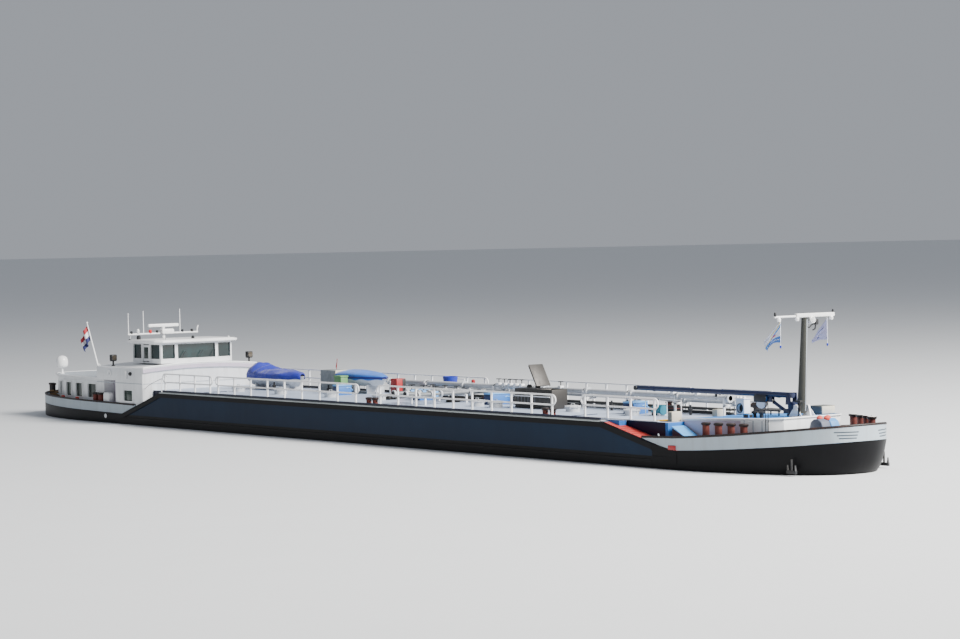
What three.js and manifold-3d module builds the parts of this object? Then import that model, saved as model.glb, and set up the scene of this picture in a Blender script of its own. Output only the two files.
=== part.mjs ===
// River motor tanker as a 1:10 model. X points to the bow, Y to port, Z up.
// Sizes in the tables are metres of the real ship, with heights from its waterline.
import * as THREE from 'three';
import { mergeVertices } from 'three/addons/utils/BufferGeometryUtils.js';
import Module from 'manifold-3d';

const wasm = await Module();
wasm.setup();

// Driving dimensions
const MODEL_MM = 100;
const DRAUGHT = 1.8;
const HALF_LENGTH = 37.3;
const HALF_BEAM = 4.1;
const STERN_RUN = 10.0;
const FORE_JOINT = 27.2;
const AFT_JOINT = -23.0;
const RAISED_DECK = 2.08;
const TRUNK_HALF = 3.25;
const STRAKE_PROUD = 0.05;
const FORE_BREAK_TOP = 23.4;
const FORE_BREAK_FOOT = 28.5;
const AFT_BREAK_TOP = -17.9;
const AFT_BREAK_FOOT = -22.6;
const FORE_DECK_LOW = 0.89;
const FORE_DECK_STEM = 1.5;
const AFT_DECK_LOW = 0.62;
const AFT_DECK_STERN = 0.85;
const GAP = 0.005;
const BULWARK_GAP = 0.015;
const UNIT_AXES = {
  x: new THREE.Vector3(1, 0, 0),
  y: new THREE.Vector3(0, 1, 0),
  z: new THREE.Vector3(0, 0, 1),
};

// Solids from closed geometries

function toManifold(geometry) {
  const bare = geometry.clone();
  bare.deleteAttribute('normal');
  bare.deleteAttribute('uv');
  const merged = mergeVertices(bare, 1e-3);
  const triVerts = new Uint32Array(merged.index.array);
  const vertProperties = new Float32Array(merged.attributes.position.array);
  const solid = new wasm.Manifold(new wasm.Mesh({ numProp: 3, vertProperties, triVerts }));
  if (solid.volume() > 0) return solid;
  triVerts.reverse();
  return new wasm.Manifold(new wasm.Mesh({ numProp: 3, vertProperties, triVerts }));
}

function toGeometry(manifold) {
  const mesh = manifold.getMesh();
  const geometry = new THREE.BufferGeometry();
  geometry.setAttribute('position', new THREE.BufferAttribute(mesh.vertProperties, 3));
  geometry.setIndex(new THREE.BufferAttribute(mesh.triVerts, 1));
  return geometry;
}

function join(first, ...others) {
  return others.reduce((sum, solid) => sum.add(solid), first);
}

function cut(first, ...others) {
  return others.reduce((rest, solid) => rest.subtract(solid), first);
}

// Basic shapes in ship metres

const mm = (metres) => metres * MODEL_MM;
const up = (height) => (height + DRAUGHT) * MODEL_MM;

function block(x0, x1, y0, y1, z0, z1) {
  const geometry = new THREE.BoxGeometry(mm(x1 - x0), mm(y1 - y0), mm(z1 - z0));
  geometry.translate(mm((x0 + x1) / 2), mm((y0 + y1) / 2), (up(z0) + up(z1)) / 2);
  return toManifold(geometry);
}

function rod(from, to, radius, sides = 10, endRadius = radius) {
  const start = new THREE.Vector3(mm(from[0]), mm(from[1]), up(from[2]));
  const end = new THREE.Vector3(mm(to[0]), mm(to[1]), up(to[2]));
  const along = end.clone().sub(start);
  const geometry = new THREE.CylinderGeometry(mm(endRadius), mm(radius), along.length(), sides);
  geometry.applyQuaternion(
    new THREE.Quaternion().setFromUnitVectors(UNIT_AXES.y, along.clone().normalize()));
  geometry.translate(...start.add(end).multiplyScalar(0.5).toArray());
  return toManifold(geometry);
}

function outline(points) {
  return new THREE.Shape(points.map(([a, b]) => new THREE.Vector2(a, b)));
}

// A plate cut to an outline of [x, y] points, between two heights
function planPlate(points, z0, z1) {
  const metres = points.map(([x, y]) => [mm(x), mm(y)]);
  const options = { depth: mm(z1 - z0), bevelEnabled: false };
  const geometry = new THREE.ExtrudeGeometry(outline(metres), options);
  geometry.translate(0, 0, up(z0));
  return toManifold(geometry);
}

// A plate cut to a side view of [x, z] points, between two breadths
function sidePlate(points, y0, y1) {
  const metres = points.map(([x, z]) => [mm(x), up(z)]);
  const options = { depth: mm(y1 - y0), bevelEnabled: false };
  const geometry = new THREE.ExtrudeGeometry(outline(metres), options);
  geometry.rotateX(Math.PI / 2);
  geometry.translate(0, mm(y1), 0);
  return toManifold(geometry);
}

// A bar with an end view of [y, z] points, between two stations
function endPlate(points, x0, x1) {
  const metres = points.map(([y, z]) => [mm(y), up(z)]);
  const options = { depth: mm(x1 - x0), bevelEnabled: false };
  const geometry = new THREE.ExtrudeGeometry(outline(metres), options);
  geometry.rotateX(Math.PI / 2);
  geometry.rotateZ(Math.PI / 2);
  geometry.translate(mm(x0), 0, 0);
  return toManifold(geometry);
}

// A solid through level outlines, each a list of [x, y, z] points of equal count
function loft(levels) {
  const count = levels[0].length;
  const positions = levels.flat().flatMap(([x, y, z]) => [mm(x), mm(y), up(z)]);
  const index = [];
  for (let level = 0; level < levels.length - 1; level += 1) {
    for (let i = 0; i < count; i += 1) {
      const a = level * count + i;
      const b = level * count + ((i + 1) % count);
      index.push(a, b, b + count, a, b + count, a + count);
    }
  }
  const top = (levels.length - 1) * count;
  for (let i = 0; i < count / 2 - 1; i += 1) {
    const j = count - 1 - i;
    index.push(i, j, i + 1, i + 1, j, j - 1);
    index.push(top + i, top + i + 1, top + j, top + i + 1, top + j - 1, top + j);
  }
  const geometry = new THREE.BufferGeometry();
  geometry.setAttribute('position', new THREE.Float32BufferAttribute(positions, 3));
  geometry.setIndex(index);
  return toManifold(geometry);
}

// Hull form

const END_STEPS = 14;

// Half breadth of an elliptical end, at a share from its joint to its tip
function endPlan(joint, run, half, fullness, z, sheer) {
  const starboard = [];
  for (let i = 0; i <= END_STEPS; i += 1) {
    const turn = (i / END_STEPS) * (Math.PI / 2);
    const x = joint + run * Math.sin(turn);
    const y = -half * Math.cos(turn) ** fullness;
    starboard.push([x, i === END_STEPS ? -0.02 : y, z + (sheer ? sheer(x) : 0)]);
  }
  const port = starboard.map(([x, y, height]) => [x, -y, height]).reverse();
  const ordered = starboard.concat(port);
  return run > 0 ? ordered : ordered.reverse();
}

function foreSheer(x) {
  const share = Math.max(0, x - FORE_BREAK_FOOT) / (HALF_LENGTH - FORE_BREAK_FOOT);
  return FORE_DECK_LOW + (FORE_DECK_STEM - FORE_DECK_LOW) * share ** 1.3;
}

function aftSheer(x) {
  const share = Math.max(0, AFT_BREAK_FOOT - x) / (HALF_LENGTH + AFT_BREAK_FOOT);
  return AFT_DECK_LOW + (AFT_DECK_STERN - AFT_DECK_LOW) * share ** 1.2;
}

function bilgeSection(half, bottom, top) {
  const radius = 0.55;
  const arc = [];
  for (let i = 0; i <= 4; i += 1) {
    const turn = (i / 4) * (Math.PI / 2);
    arc.push([half - radius + radius * Math.sin(turn), bottom + radius - radius * Math.cos(turn)]);
  }
  const right = arc.concat([[half, top]]);
  return right.concat(right.map(([y, z]) => [-y, z]).reverse());
}

const KEEL = -DRAUGHT;
const PAD_TOP = RAISED_DECK + 0.03;
const PADS = [
  // from, to: raised plates that carry a load on the starboard side
  [-19.0, -14.8],
  [15.6, 19.9],
];

// Cuts the outer deck strips down to a slope between two [x, z] points
function slopeStrips(hull, [topX, topZ], [footX, footZ]) {
  const wedge = [[topX, topZ], [footX, footZ], [footX, topZ + 2], [topX, topZ + 2]];
  return hull.subtract(sidePlate(wedge, -5, -TRUNK_HALF)).subtract(sidePlate(wedge, TRUNK_HALF, 5));
}

// Rubbing strake on both sides along [x, z] points, drawn as a band of the given height
function strake(points, height) {
  const band = points.concat(points.map(([x, z]) => [x, z - height]).reverse());
  const outer = HALF_BEAM + STRAKE_PROUD;
  return join(sidePlate(band, -outer, -HALF_BEAM + 0.05), sidePlate(band, HALF_BEAM - 0.05, outer));
}

function midbody() {
  const box = endPlate(bilgeSection(HALF_BEAM, KEEL, RAISED_DECK), AFT_JOINT, FORE_JOINT);
  const foreFoot = [FORE_JOINT + 1, foreRamp(FORE_JOINT + 1)];
  let hull = slopeStrips(box, [FORE_BREAK_TOP, RAISED_DECK], foreFoot);
  hull = slopeStrips(hull, [AFT_BREAK_TOP, RAISED_DECK], [AFT_BREAK_FOOT, AFT_DECK_LOW]);
  const wall = HOUSE_HALF + GAP;
  const houseSeat = block(AFT_JOINT - 1, HOUSE_FRONT + GAP, -wall, wall, AFT_DECK_LOW, 4);
  const behindBreak = block(AFT_JOINT - 1, AFT_BREAK_FOOT, -5, 5, AFT_DECK_LOW, 4);
  const belting = strake([
    [AFT_JOINT, AFT_DECK_LOW - 0.02], [AFT_BREAK_FOOT, AFT_DECK_LOW - 0.02],
    [AFT_BREAK_TOP, RAISED_DECK - 0.03], [FORE_BREAK_TOP, RAISED_DECK - 0.03],
    [FORE_JOINT, foreRamp(FORE_JOINT) - 0.03],
  ], 0.28);
  const step = block(23.0, 24.4, -3.73, -TRUNK_HALF + 0.02, foreRamp(24.4) - 0.2, RAISED_DECK);
  const lowBelting = strake([[AFT_JOINT, 0.42], [FORE_JOINT, 0.42]], 0.12);
  const pads = PADS.map(([from, to]) => block(from, to, -3.2, -1.4, RAISED_DECK - 0.1, PAD_TOP));
  return join(cut(hull, houseSeat, behindBreak), belting, lowBelting, step, ...pads);
}

function forebody() {
  const start = FORE_JOINT + GAP;
  const tip = HALF_LENGTH - start;
  const levels = [
    endPlan(start, tip * 0.62, HALF_BEAM - 0.45, 0.9, KEEL),
    endPlan(start, tip * 0.7, HALF_BEAM - 0.12, 0.9, KEEL + 0.3),
    endPlan(start, tip * 0.82, HALF_BEAM, 0.88, KEEL + 0.9),
    endPlan(start, tip * 0.955, HALF_BEAM, 0.86, 0.2),
    endPlan(start, tip, HALF_BEAM, 0.84, 0, foreSheer),
  ];
  const body = loft(levels);
  const shoulder = sidePlate([
    [start, KEEL + 1], [FORE_BREAK_FOOT, FORE_DECK_LOW - 0.3], [FORE_BREAK_FOOT, FORE_DECK_LOW],
    [start, foreRamp(start)],
  ], -HALF_BEAM, HALF_BEAM);
  const stairs = shoulder.intersect(planPlate(bowOutline(start, 0), KEEL, RAISED_DECK));
  const well = block(start - 1, HALF_LENGTH, -TRUNK_HALF, TRUNK_HALF, FORE_DECK_LOW, RAISED_DECK + 1);
  const [inner, outer] = [FOREHOUSE_HALF + GAP, TRUNK_HALF + 0.02];
  const bulkheads = [[-outer, -inner], [inner, outer]].map(([y0, y1]) => (
    block(start, FORE_BREAK_FOOT - 1.1, y0, y1, 0, RAISED_DECK)));
  return join(body, stairs.subtract(well), ...bulkheads);
}

function foreRamp(x) {
  const slope = (RAISED_DECK - FORE_DECK_LOW) / (FORE_BREAK_FOOT - FORE_BREAK_TOP);
  return RAISED_DECK - slope * (x - FORE_BREAK_TOP);
}

// Deck outline of the bow from a station, with a straight length before the round end
function bowOutline(start, inset) {
  const half = HALF_BEAM - inset;
  const straight = Math.max(start, FORE_JOINT + GAP);
  const run = HALF_LENGTH - straight - inset;
  const ring = endPlan(straight, run, half, 0.84, 0).map(([x, y]) => [x, y]);
  return start < straight ? [[start, -half], ...ring, [start, half]] : ring;
}

function sternOutline(start, inset) {
  const run = -(HALF_LENGTH - inset - STERN_RUN) - start;
  const straight = start + run;
  const ring = endPlan(straight, -(STERN_RUN), HALF_BEAM - inset, 0.9, 0);
  return [[start, HALF_BEAM - inset], ...ring.map(([x, y]) => [x, y]), [start, -HALF_BEAM + inset]];
}

function afterbody() {
  const start = AFT_JOINT - GAP;
  const full = HALF_LENGTH + start;
  const counterBottom = -0.12;
  const deck = planPlate(sternOutline(start, 0), counterBottom, AFT_DECK_STERN + 1);
  const sheerSide = [[start, counterBottom - 0.2]];
  for (let i = 0; i <= 8; i += 1) {
    const x = -HALF_LENGTH - 1 + (i / 8) * (start + HALF_LENGTH + 1);
    sheerSide.push([x, aftSheer(x)]);
  }
  sheerSide.splice(1, 0, [-HALF_LENGTH - 1, counterBottom - 0.2]);
  const upper = deck.intersect(sidePlate(sheerSide, -5, 5));
  const lower = loft([
    endPlan(start, -full * 0.40, HALF_BEAM - 0.45, 0.8, KEEL),
    endPlan(start, -full * 0.44, HALF_BEAM - 0.12, 0.8, KEEL + 0.3),
    endPlan(start, -full * 0.54, HALF_BEAM, 0.75, KEEL + 0.95),
    endPlan(start, -full * 0.72, HALF_BEAM, 0.6, counterBottom + 0.05),
  ]);
  const skeg = block(-32.0, -27.5, -0.16, 0.16, KEEL + 0.05, counterBottom + 0.05);
  const boss = rod([-32.02, 0, SHAFT_HEIGHT], [-28, 0, SHAFT_HEIGHT], 0.24, 12);
  const bore = rod([-33, 0, SHAFT_HEIGHT], [-31.2, 0, SHAFT_HEIGHT], 0.1, 12);
  const well = block(-27.0, -24.0, -1.4, 1.4, KEEL + 0.35, AFT_DECK_STERN + 1);
  let hull = join(upper, lower, skeg, boss);
  for (const side of [-1, 1]) {
    hull = hull.subtract(rod([RUDDER_X, side * RUDDER_Y, counterBottom - 0.3],
      [RUDDER_X, side * RUDDER_Y, counterBottom + 0.35], 0.12, 12));
  }
  return cut(hull, bore, well);
}

// Propeller and rudders

const SHAFT_HEIGHT = -0.98;
const PROPELLER_X = -32.9;
const PROPELLER_RADIUS = 0.66;
const NOZZLE_INNER = 0.74;
const RUDDER_X = -34.6;
const RUDDER_Y = 0.62;

function blade(turn) {
  const shape = new THREE.Shape();
  shape.moveTo(-9, 8);
  shape.quadraticCurveTo(-30, 38, -16, mm(PROPELLER_RADIUS) - 4);
  shape.quadraticCurveTo(0, mm(PROPELLER_RADIUS), 14, mm(PROPELLER_RADIUS) - 6);
  shape.quadraticCurveTo(24, 36, 9, 8);
  shape.closePath();
  const options = { depth: 5, bevelEnabled: false, curveSegments: 4 };
  const geometry = new THREE.ExtrudeGeometry(shape, options);
  geometry.translate(0, 0, -2.5);
  geometry.rotateY(0.6);
  geometry.rotateY(Math.PI / 2);
  geometry.rotateX(Math.PI / 2);
  geometry.rotateX(turn);
  geometry.translate(mm(PROPELLER_X), 0, up(SHAFT_HEIGHT));
  return toManifold(geometry);
}

function propeller() {
  const [hubAft, hubFore] = [PROPELLER_X - 0.28, PROPELLER_X + 0.25];
  const hub = rod([hubAft, 0, SHAFT_HEIGHT], [hubFore, 0, SHAFT_HEIGHT], 0.12, 12, 0.17);
  const shaft = rod([PROPELLER_X, 0, SHAFT_HEIGHT], [-31.3, 0, SHAFT_HEIGHT], 0.07, 12);
  const blades = [0, 1, 2, 3].map((i) => blade((i * Math.PI) / 2));
  return join(hub, shaft, ...blades);
}

function nozzle() {
  const profile = [
    [NOZZLE_INNER, -0.42], [NOZZLE_INNER + 0.02, 0.4], [NOZZLE_INNER + 0.09, 0.42],
    [NOZZLE_INNER + 0.06, -0.42],
  ];
  const points = profile.map(([r, x]) => new THREE.Vector2(mm(r), mm(x)));
  points.push(points[0].clone());
  const geometry = new THREE.LatheGeometry(points, 28);
  geometry.rotateZ(-Math.PI / 2);
  geometry.translate(mm(PROPELLER_X), 0, up(SHAFT_HEIGHT));
  const bracketFoot = SHAFT_HEIGHT + NOZZLE_INNER + 0.04;
  return toManifold(geometry)
    .add(block(PROPELLER_X - 0.3, PROPELLER_X + 0.3, -0.1, 0.1, bracketFoot, 0.1));
}

function rudder(side) {
  const y = side * RUDDER_Y;
  const section = [
    [RUDDER_X + 0.42, y], [RUDDER_X + 0.25, y + 0.07], [RUDDER_X - 0.2, y + 0.07],
    [RUDDER_X - 0.85, y + 0.015], [RUDDER_X - 0.85, y - 0.015], [RUDDER_X - 0.2, y - 0.07],
    [RUDDER_X + 0.25, y - 0.07],
  ];
  const leaf = planPlate(section.reverse(), KEEL + 0.15, -0.2);
  const stock = rod([RUDDER_X, y, -0.3], [RUDDER_X, y, 0.15], 0.08, 12);
  return leaf.add(stock);
}

// Bulwarks

// Bulwark plate between its foot on the deck and its rail, both given as [x, z] points
function bulwark(outer, inner, foot, rail) {
  return planPlate(outer, 0, 3).subtract(planPlate(inner, -0.5, 3.5))
    .intersect(sidePlate(foot.concat([...rail].reverse()), -5, 5));
}

const BULWARK_PLATE = 0.085;
const BULWARK_STEPS = 8;

function bowBulwark() {
  const tail = FORE_BREAK_FOOT - 2.05;
  const foot = [[tail, foreRamp(tail) + BULWARK_GAP]];
  const rail = [[tail, foreRamp(tail) + 0.06]];
  for (let i = 0; i <= BULWARK_STEPS; i += 1) {
    const share = i / BULWARK_STEPS;
    const x = FORE_BREAK_FOOT + share * (HALF_LENGTH + 0.1 - FORE_BREAK_FOOT);
    foot.push([x, foreSheer(x) + BULWARK_GAP]);
    rail.push([x, foreSheer(x) + 0.6 + 0.12 * share]);
  }
  const start = FORE_BREAK_FOOT - 3;
  return bulwark(bowOutline(start, 0), bowOutline(start - 0.2, BULWARK_PLATE), foot, rail);
}

function sternBulwark() {
  const foot = [[-21.0, 1.14 + BULWARK_GAP], [AFT_BREAK_FOOT, AFT_DECK_LOW + BULWARK_GAP]];
  const rail = [[-21.0, 1.2], [AFT_BREAK_FOOT, 1.22]];
  for (let i = 1; i <= BULWARK_STEPS; i += 1) {
    const share = i / BULWARK_STEPS;
    const x = AFT_BREAK_FOOT - share * (HALF_LENGTH + 0.1 + AFT_BREAK_FOOT);
    foot.push([x, aftSheer(x) + BULWARK_GAP]);
    rail.push([x, 1.22 + 0.18 * share]);
  }
  const [outer, inner] = [sternOutline(-20.9, 0), sternOutline(-20.6, BULWARK_PLATE)];
  return bulwark(outer, inner, foot.reverse(), rail.reverse());
}

// Side rails, each length with posts on a common deck edge bar that also carries the side bollards

const RAIL_HEIGHT = 1.08;
const RAIL_Y = 3.98;
const RAIL_LENGTHS = {
  stbd: [[-17.5, -12.4], [-11.5, 2.6], [4.9, 19.6]],
  port: [[-17.5, -12.4], [-11.5, 3.5], [5.8, 20.6]],
};
const RAIL_POST_STEP = 1.72;
const RAIL_BAR = 0.035;
const SIDE_BOLLARDS = { stbd: [3.2, 18.5], port: [4.2, 19.5] };

function railLength(from, to, y, posts) {
  const top = RAISED_DECK + RAIL_HEIGHT;
  const middle = RAISED_DECK + RAIL_HEIGHT * 0.55;
  const parts = [
    rod([from - 0.03, y, top], [to + 0.03, y, top], RAIL_BAR, 6),
    rod([from, y, middle], [to, y, middle], RAIL_BAR * 0.8, 6),
  ];
  for (let i = 0; i <= posts; i += 1) {
    const x = from + ((to - from) * i) / posts;
    parts.push(rod([x, y, RAISED_DECK + 0.03], [x, y, top], RAIL_BAR, 6));
  }
  return join(...parts);
}

function sideRail(side) {
  const y = side * RAIL_Y;
  const [from, to] = [AFT_BREAK_TOP + 0.1, FORE_BREAK_TOP - 0.1];
  const parts = [block(from, to, y - 0.06, y + 0.06, RAISED_DECK + GAP, RAISED_DECK + 0.12)];
  const word = side > 0 ? 'port' : 'stbd';
  for (const [aft, fore] of RAIL_LENGTHS[word]) {
    const bays = Math.round((fore - aft) / RAIL_POST_STEP);
    parts.push(railLength(aft, fore, y, bays));
  }
  const [inboard, outboard] = side > 0 ? [3.5, 3.95] : [-3.95, -3.5];
  for (const x of SIDE_BOLLARDS[word]) {
    parts.push(bollards([[x, side * 3.55], [x + 0.6, side * 3.55]], RAISED_DECK, 0.14, 0.36));
    parts.push(block(x - 0.1, x + 0.7, inboard, outboard, RAISED_DECK + GAP, RAISED_DECK + 0.06));
  }
  return join(...parts);
}

function foreRail(side) {
  const y = side * (TRUNK_HALF - 0.1);
  const foot = block(21.0, 26.6, y - 0.05, y + 0.05, RAISED_DECK + GAP, RAISED_DECK + 0.05);
  return foot.add(railLength(21.1, 26.3, y, 3));
}

// Bollards

// Round posts with broad caps, in a chain on one base plate, which may be sloped by a height
// for each station
function bollards(places, z, post = 0.17, height = 0.42, sheer = null) {
  const xs = places.map(([x]) => x);
  const pad = post * 1.35;
  const [x0, x1] = [Math.min(...xs) - pad, Math.max(...xs) + pad];
  const foot = (x) => (sheer ? sheer(x) + BULWARK_GAP : z + GAP);
  const slope = [[x0, foot(x0)], [x1, foot(x1)], [x1, foot(x1) + 0.06], [x0, foot(x0) + 0.06]];
  const disc = ([x, y]) => rod([x, y, z - 2], [x, y, z + 2], pad, 12);
  const links = places.slice(1).map((next, i) => (
    wasm.Manifold.hull([disc(places[i]), disc(next)])));
  const parts = [sidePlate(slope, -HALF_BEAM, HALF_BEAM).intersect(join(...links))];
  for (const [x, y] of places) {
    parts.push(rod([x, y, foot(x) + 0.03], [x, y, z + height], post, 12));
    parts.push(rod([x, y, z + height - 0.04], [x, y, z + height + 0.04], pad, 12));
  }
  return join(...parts);
}

// Superstructure, aft house and wheelhouse

const HOUSE_FRONT = -20.2;
const HOUSE_AFT = -25.8;
const RECESS_FORE = -23.5;
const HOUSE_HALF = 4.0;
const HOUSE_SIDE_TOP = 3.42;
const HOUSE_CAMBER = 0.2;
const WALL = 0.08;
const AFT_HOUSE_HALF = 3.5;
const AFT_CURVE_START = -26.4;
const AFT_CURVE_RUN = 8.8;
const AFT_CURVE_FULLNESS = 0.6;
const AFT_ROOF = 2.68;

function camberedEnd(half, bottom, sideTop, camber) {
  const points = [[-half, bottom], [half, bottom]];
  for (let i = 0; i <= 8; i += 1) {
    const share = 1 - i / 4;
    points.push([half * share, sideTop + camber * (1 - share * share)]);
  }
  return points;
}

// A band of even height that follows the camber
function camberedBand(half, sideTop, camber, height) {
  const crown = camberedEnd(half, 0, sideTop, camber).slice(2);
  return crown.concat(crown.map(([y, z]) => [y, z - height]).reverse());
}

function superstructure() {
  const bottom = AFT_DECK_LOW + 0.12;
  const section = camberedEnd(HOUSE_HALF, bottom, HOUSE_SIDE_TOP, HOUSE_CAMBER);
  const shell = endPlate(section, HOUSE_AFT, HOUSE_FRONT);
  const inside = endPlate(
    camberedEnd(HOUSE_HALF - WALL, bottom - 0.5, HOUSE_SIDE_TOP - WALL, HOUSE_CAMBER),
    RECESS_FORE + WALL, HOUSE_FRONT - WALL);
  const ceiling = HOUSE_SIDE_TOP - WALL;
  const middleInside = block(HOUSE_AFT + WALL, RECESS_FORE + 1, -2.7, 2.7, bottom - 0.5, ceiling);
  const band = camberedBand(HOUSE_HALF, HOUSE_SIDE_TOP, HOUSE_CAMBER, 0.3);
  const visor = endPlate(band, HOUSE_FRONT - 0.02, HOUSE_FRONT + 0.12);
  let house = join(cut(shell, inside, middleInside), visor);
  for (const side of [-1, 1]) {
    const [near, far] = side > 0 ? [2.8, 5] : [-5, -2.8];
    house = house.subtract(block(HOUSE_AFT - 1, RECESS_FORE, near, far, bottom - 0.5, 2.62));
    house = house.subtract(block(-22.48, -21.4, near + 0.7, far - 0.7, 1.4, 2.06));
  }
  const doorway = block(-25.2, -24.4, -3.2, -2.5, bottom + 0.05, 2.5);
  return cut(house, doorway);
}

function cabinDoor() {
  return block(-25.15, -24.45, -2.78, -2.72, AFT_DECK_LOW + 0.24, 2.45);
}

// Plan of the aft house, which narrows in one long curve towards the stern
function aftPlan(inset) {
  const half = AFT_HOUSE_HALF - inset;
  const ring = endPlan(AFT_CURVE_START, -AFT_CURVE_RUN + inset, half, AFT_CURVE_FULLNESS, 0);
  const front = HOUSE_AFT - GAP - inset;
  return [[front, half], ...ring.map(([x, y]) => [x, y]), [front, -half]];
}

// Half breadth of the aft house wall at a station
function aftWall(x) {
  const turn = Math.asin(Math.min(1, Math.max(0, (AFT_CURVE_START - x) / AFT_CURVE_RUN)));
  return AFT_HOUSE_HALF * Math.cos(turn) ** AFT_CURVE_FULLNESS;
}

// A cutter through the curved wall, square to it at a station
function wallCutter(x, side, width, z0, z1) {
  const y = side * aftWall(x);
  const slope = side * Math.atan2(aftWall(x - 0.3) - aftWall(x + 0.3), -0.6);
  const geometry = new THREE.BoxGeometry(mm(width), mm(1.0), mm(z1 - z0));
  geometry.rotateZ(slope);
  geometry.translate(mm(x), mm(y), up((z0 + z1) / 2));
  return toManifold(geometry);
}

function aftHouse() {
  const base = aftSheer(AFT_CURVE_START - AFT_CURVE_RUN) + BULWARK_GAP;
  const shell = planPlate(aftPlan(0), base, AFT_ROOF);
  const room = planPlate(aftPlan(WALL), base - 1, AFT_ROOF - WALL);
  const windows = [-1, 1].flatMap((side) => AFT_WINDOWS.map(([x, width]) => (
    wallCutter(x, side, width, 1.42, 2.28))));
  const rim = planPlate(aftPlan(-0.08), AFT_ROOF - 0.1, AFT_ROOF);
  const besideFront = block(HOUSE_AFT - GAP, 0, -5, 5, 0, 4);
  return cut(shell.add(rim), besideFront, room, ...windows);
}

const AFT_WINDOWS = [
  // middle, width
  [-32.52, 0.65], [-30.88, 0.96], [-29.2, 1.0], [-27.34, 1.14],
];

// A curved strip of glass behind the windows of one side
function aftGlass(side) {
  const inset = WALL + GAP;
  const strip = planPlate(aftPlan(inset), 1.36, 2.34).subtract(planPlate(aftPlan(inset + 0.03), 0, 4));
  return strip.intersect(block(-33.1, -26.3, side > 0 ? 1 : -5, side > 0 ? 5 : -1, 0, 4));
}

const BRIDGE_FRONT = -20.5;
const BRIDGE_AFT = -23.9;
const BRIDGE_HALF = 2.5;
const SILL = 3.9;
const HEAD = 4.78;

function roofHeight(y) {
  return HOUSE_SIDE_TOP + HOUSE_CAMBER * (1 - (y / HOUSE_HALF) ** 2);
}

function wheelhouse() {
  const floor = roofHeight(0) + GAP;
  const outer = block(BRIDGE_AFT, BRIDGE_FRONT, -BRIDGE_HALF, BRIDGE_HALF, floor, HEAD + 0.08);
  const inner = block(BRIDGE_AFT + WALL, BRIDGE_FRONT - WALL, -BRIDGE_HALF + WALL, BRIDGE_HALF - WALL,
    floor - 1, HEAD + 1);
  let walls = outer.subtract(inner);
  const frontPanes = [[-2.41, -1.5], [-1.34, 1.34], [1.5, 2.41]];
  for (const [from, to] of frontPanes) {
    walls = walls.subtract(block(BRIDGE_FRONT - 0.3, BRIDGE_FRONT + 1, from, to, SILL, HEAD));
    walls = walls.subtract(block(BRIDGE_AFT - 1, BRIDGE_AFT + 0.3, from, to, SILL, HEAD));
  }
  for (const side of [-1, 1]) {
    const near = side > 0 ? 2.3 : -4;
    const far = side > 0 ? 4 : -2.3;
    walls = walls.subtract(block(-21.76, -20.6, near, far, SILL, HEAD));
    walls = walls.subtract(block(-23.82, -22.8, near, far, SILL, HEAD));
  }
  walls = walls.subtract(block(-22.7, -21.85, -4, -2.3, floor + 0.06, HEAD));
  walls = walls.subtract(block(-22.7, -21.85, 2.3, 4, SILL, HEAD));
  return walls;
}

function wheelhouseGlass() {
  const inset = WALL + GAP;
  const outer = block(BRIDGE_AFT + inset, BRIDGE_FRONT - inset, -BRIDGE_HALF + inset, BRIDGE_HALF - inset,
    SILL - 0.05, HEAD + 0.05);
  const inner = block(BRIDGE_AFT + inset + 0.03, BRIDGE_FRONT - inset - 0.03, -BRIDGE_HALF + inset + 0.03,
    BRIDGE_HALF - inset - 0.03, SILL - 1, HEAD + 1);
  return cut(outer, inner, block(-22.75, -21.8, -4, -2.3, SILL - 1, HEAD + 1));
}

function wheelhouseRoof() {
  const starboard = [[-24.05, -2.6], [-23.8, -2.95], [-20.55, -2.95], [-20.1, -2.55]];
  const plan = starboard.concat(starboard.map(([x, y]) => [x, -y]).reverse());
  return planPlate(plan, HEAD + 0.08 + GAP, HEAD + 0.24);
}

function wheelhouseDoor() {
  return block(-22.65, -21.9, -BRIDGE_HALF + 0.01, -BRIDGE_HALF + 0.06, roofHeight(0) + 0.12, HEAD - 0.05);
}

function helmDesk() {
  const floor = roofHeight(0) + 2 * GAP;
  return join(
    block(-22.9, -21.1, -1.1, 1.1, floor, floor + 0.05),
    block(-21.9, -21.1, -1.1, 1.1, floor, SILL + 0.1),
    block(-22.9, -22.4, -0.3, 0.3, floor, SILL + 0.15),
  );
}

// Radar mast

const RADAR_X = -24.45;
const RADAR_BAR = 5.33;
const RADAR_SEAT = RADAR_BAR + 0.34;

function radarMast() {
  const foot = roofHeight(0) + GAP;
  const parts = [
    rod([RADAR_X, 0, foot], [RADAR_X, 0, RADAR_BAR], 0.11, 10),
    rod([RADAR_X, 0, foot], [RADAR_X, 0, foot + 0.05], 0.2, 10),
    rod([RADAR_X, -2.5, RADAR_BAR], [RADAR_X, 2.46, RADAR_BAR], 0.05, 8),
    block(RADAR_X - 0.28, RADAR_X + 0.28, -0.22, 0.64, RADAR_BAR - 0.06, RADAR_BAR + 0.27),
    rod([RADAR_X, 0, RADAR_BAR + 0.2], [RADAR_X, 0, RADAR_SEAT], 0.09, 10),
  ];
  for (const [y, top] of [[-2.46, 6.66], [-1.4, 6.75], [1.2, 6.8], [2.42, 5.75]]) {
    parts.push(rod([RADAR_X, y, RADAR_BAR], [RADAR_X, y, top], 0.025, 6));
  }
  return join(...parts);
}

function radarScanner() {
  const foot = RADAR_SEAT + GAP;
  const bar = block(RADAR_X - 0.09, RADAR_X + 0.09, -1.08, 1.08, foot + 0.05, foot + 0.25);
  return bar.add(rod([RADAR_X, 0, foot], [RADAR_X, 0, foot + 0.08], 0.1, 10));
}

const DOME = [-33.6, -2.2];

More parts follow.
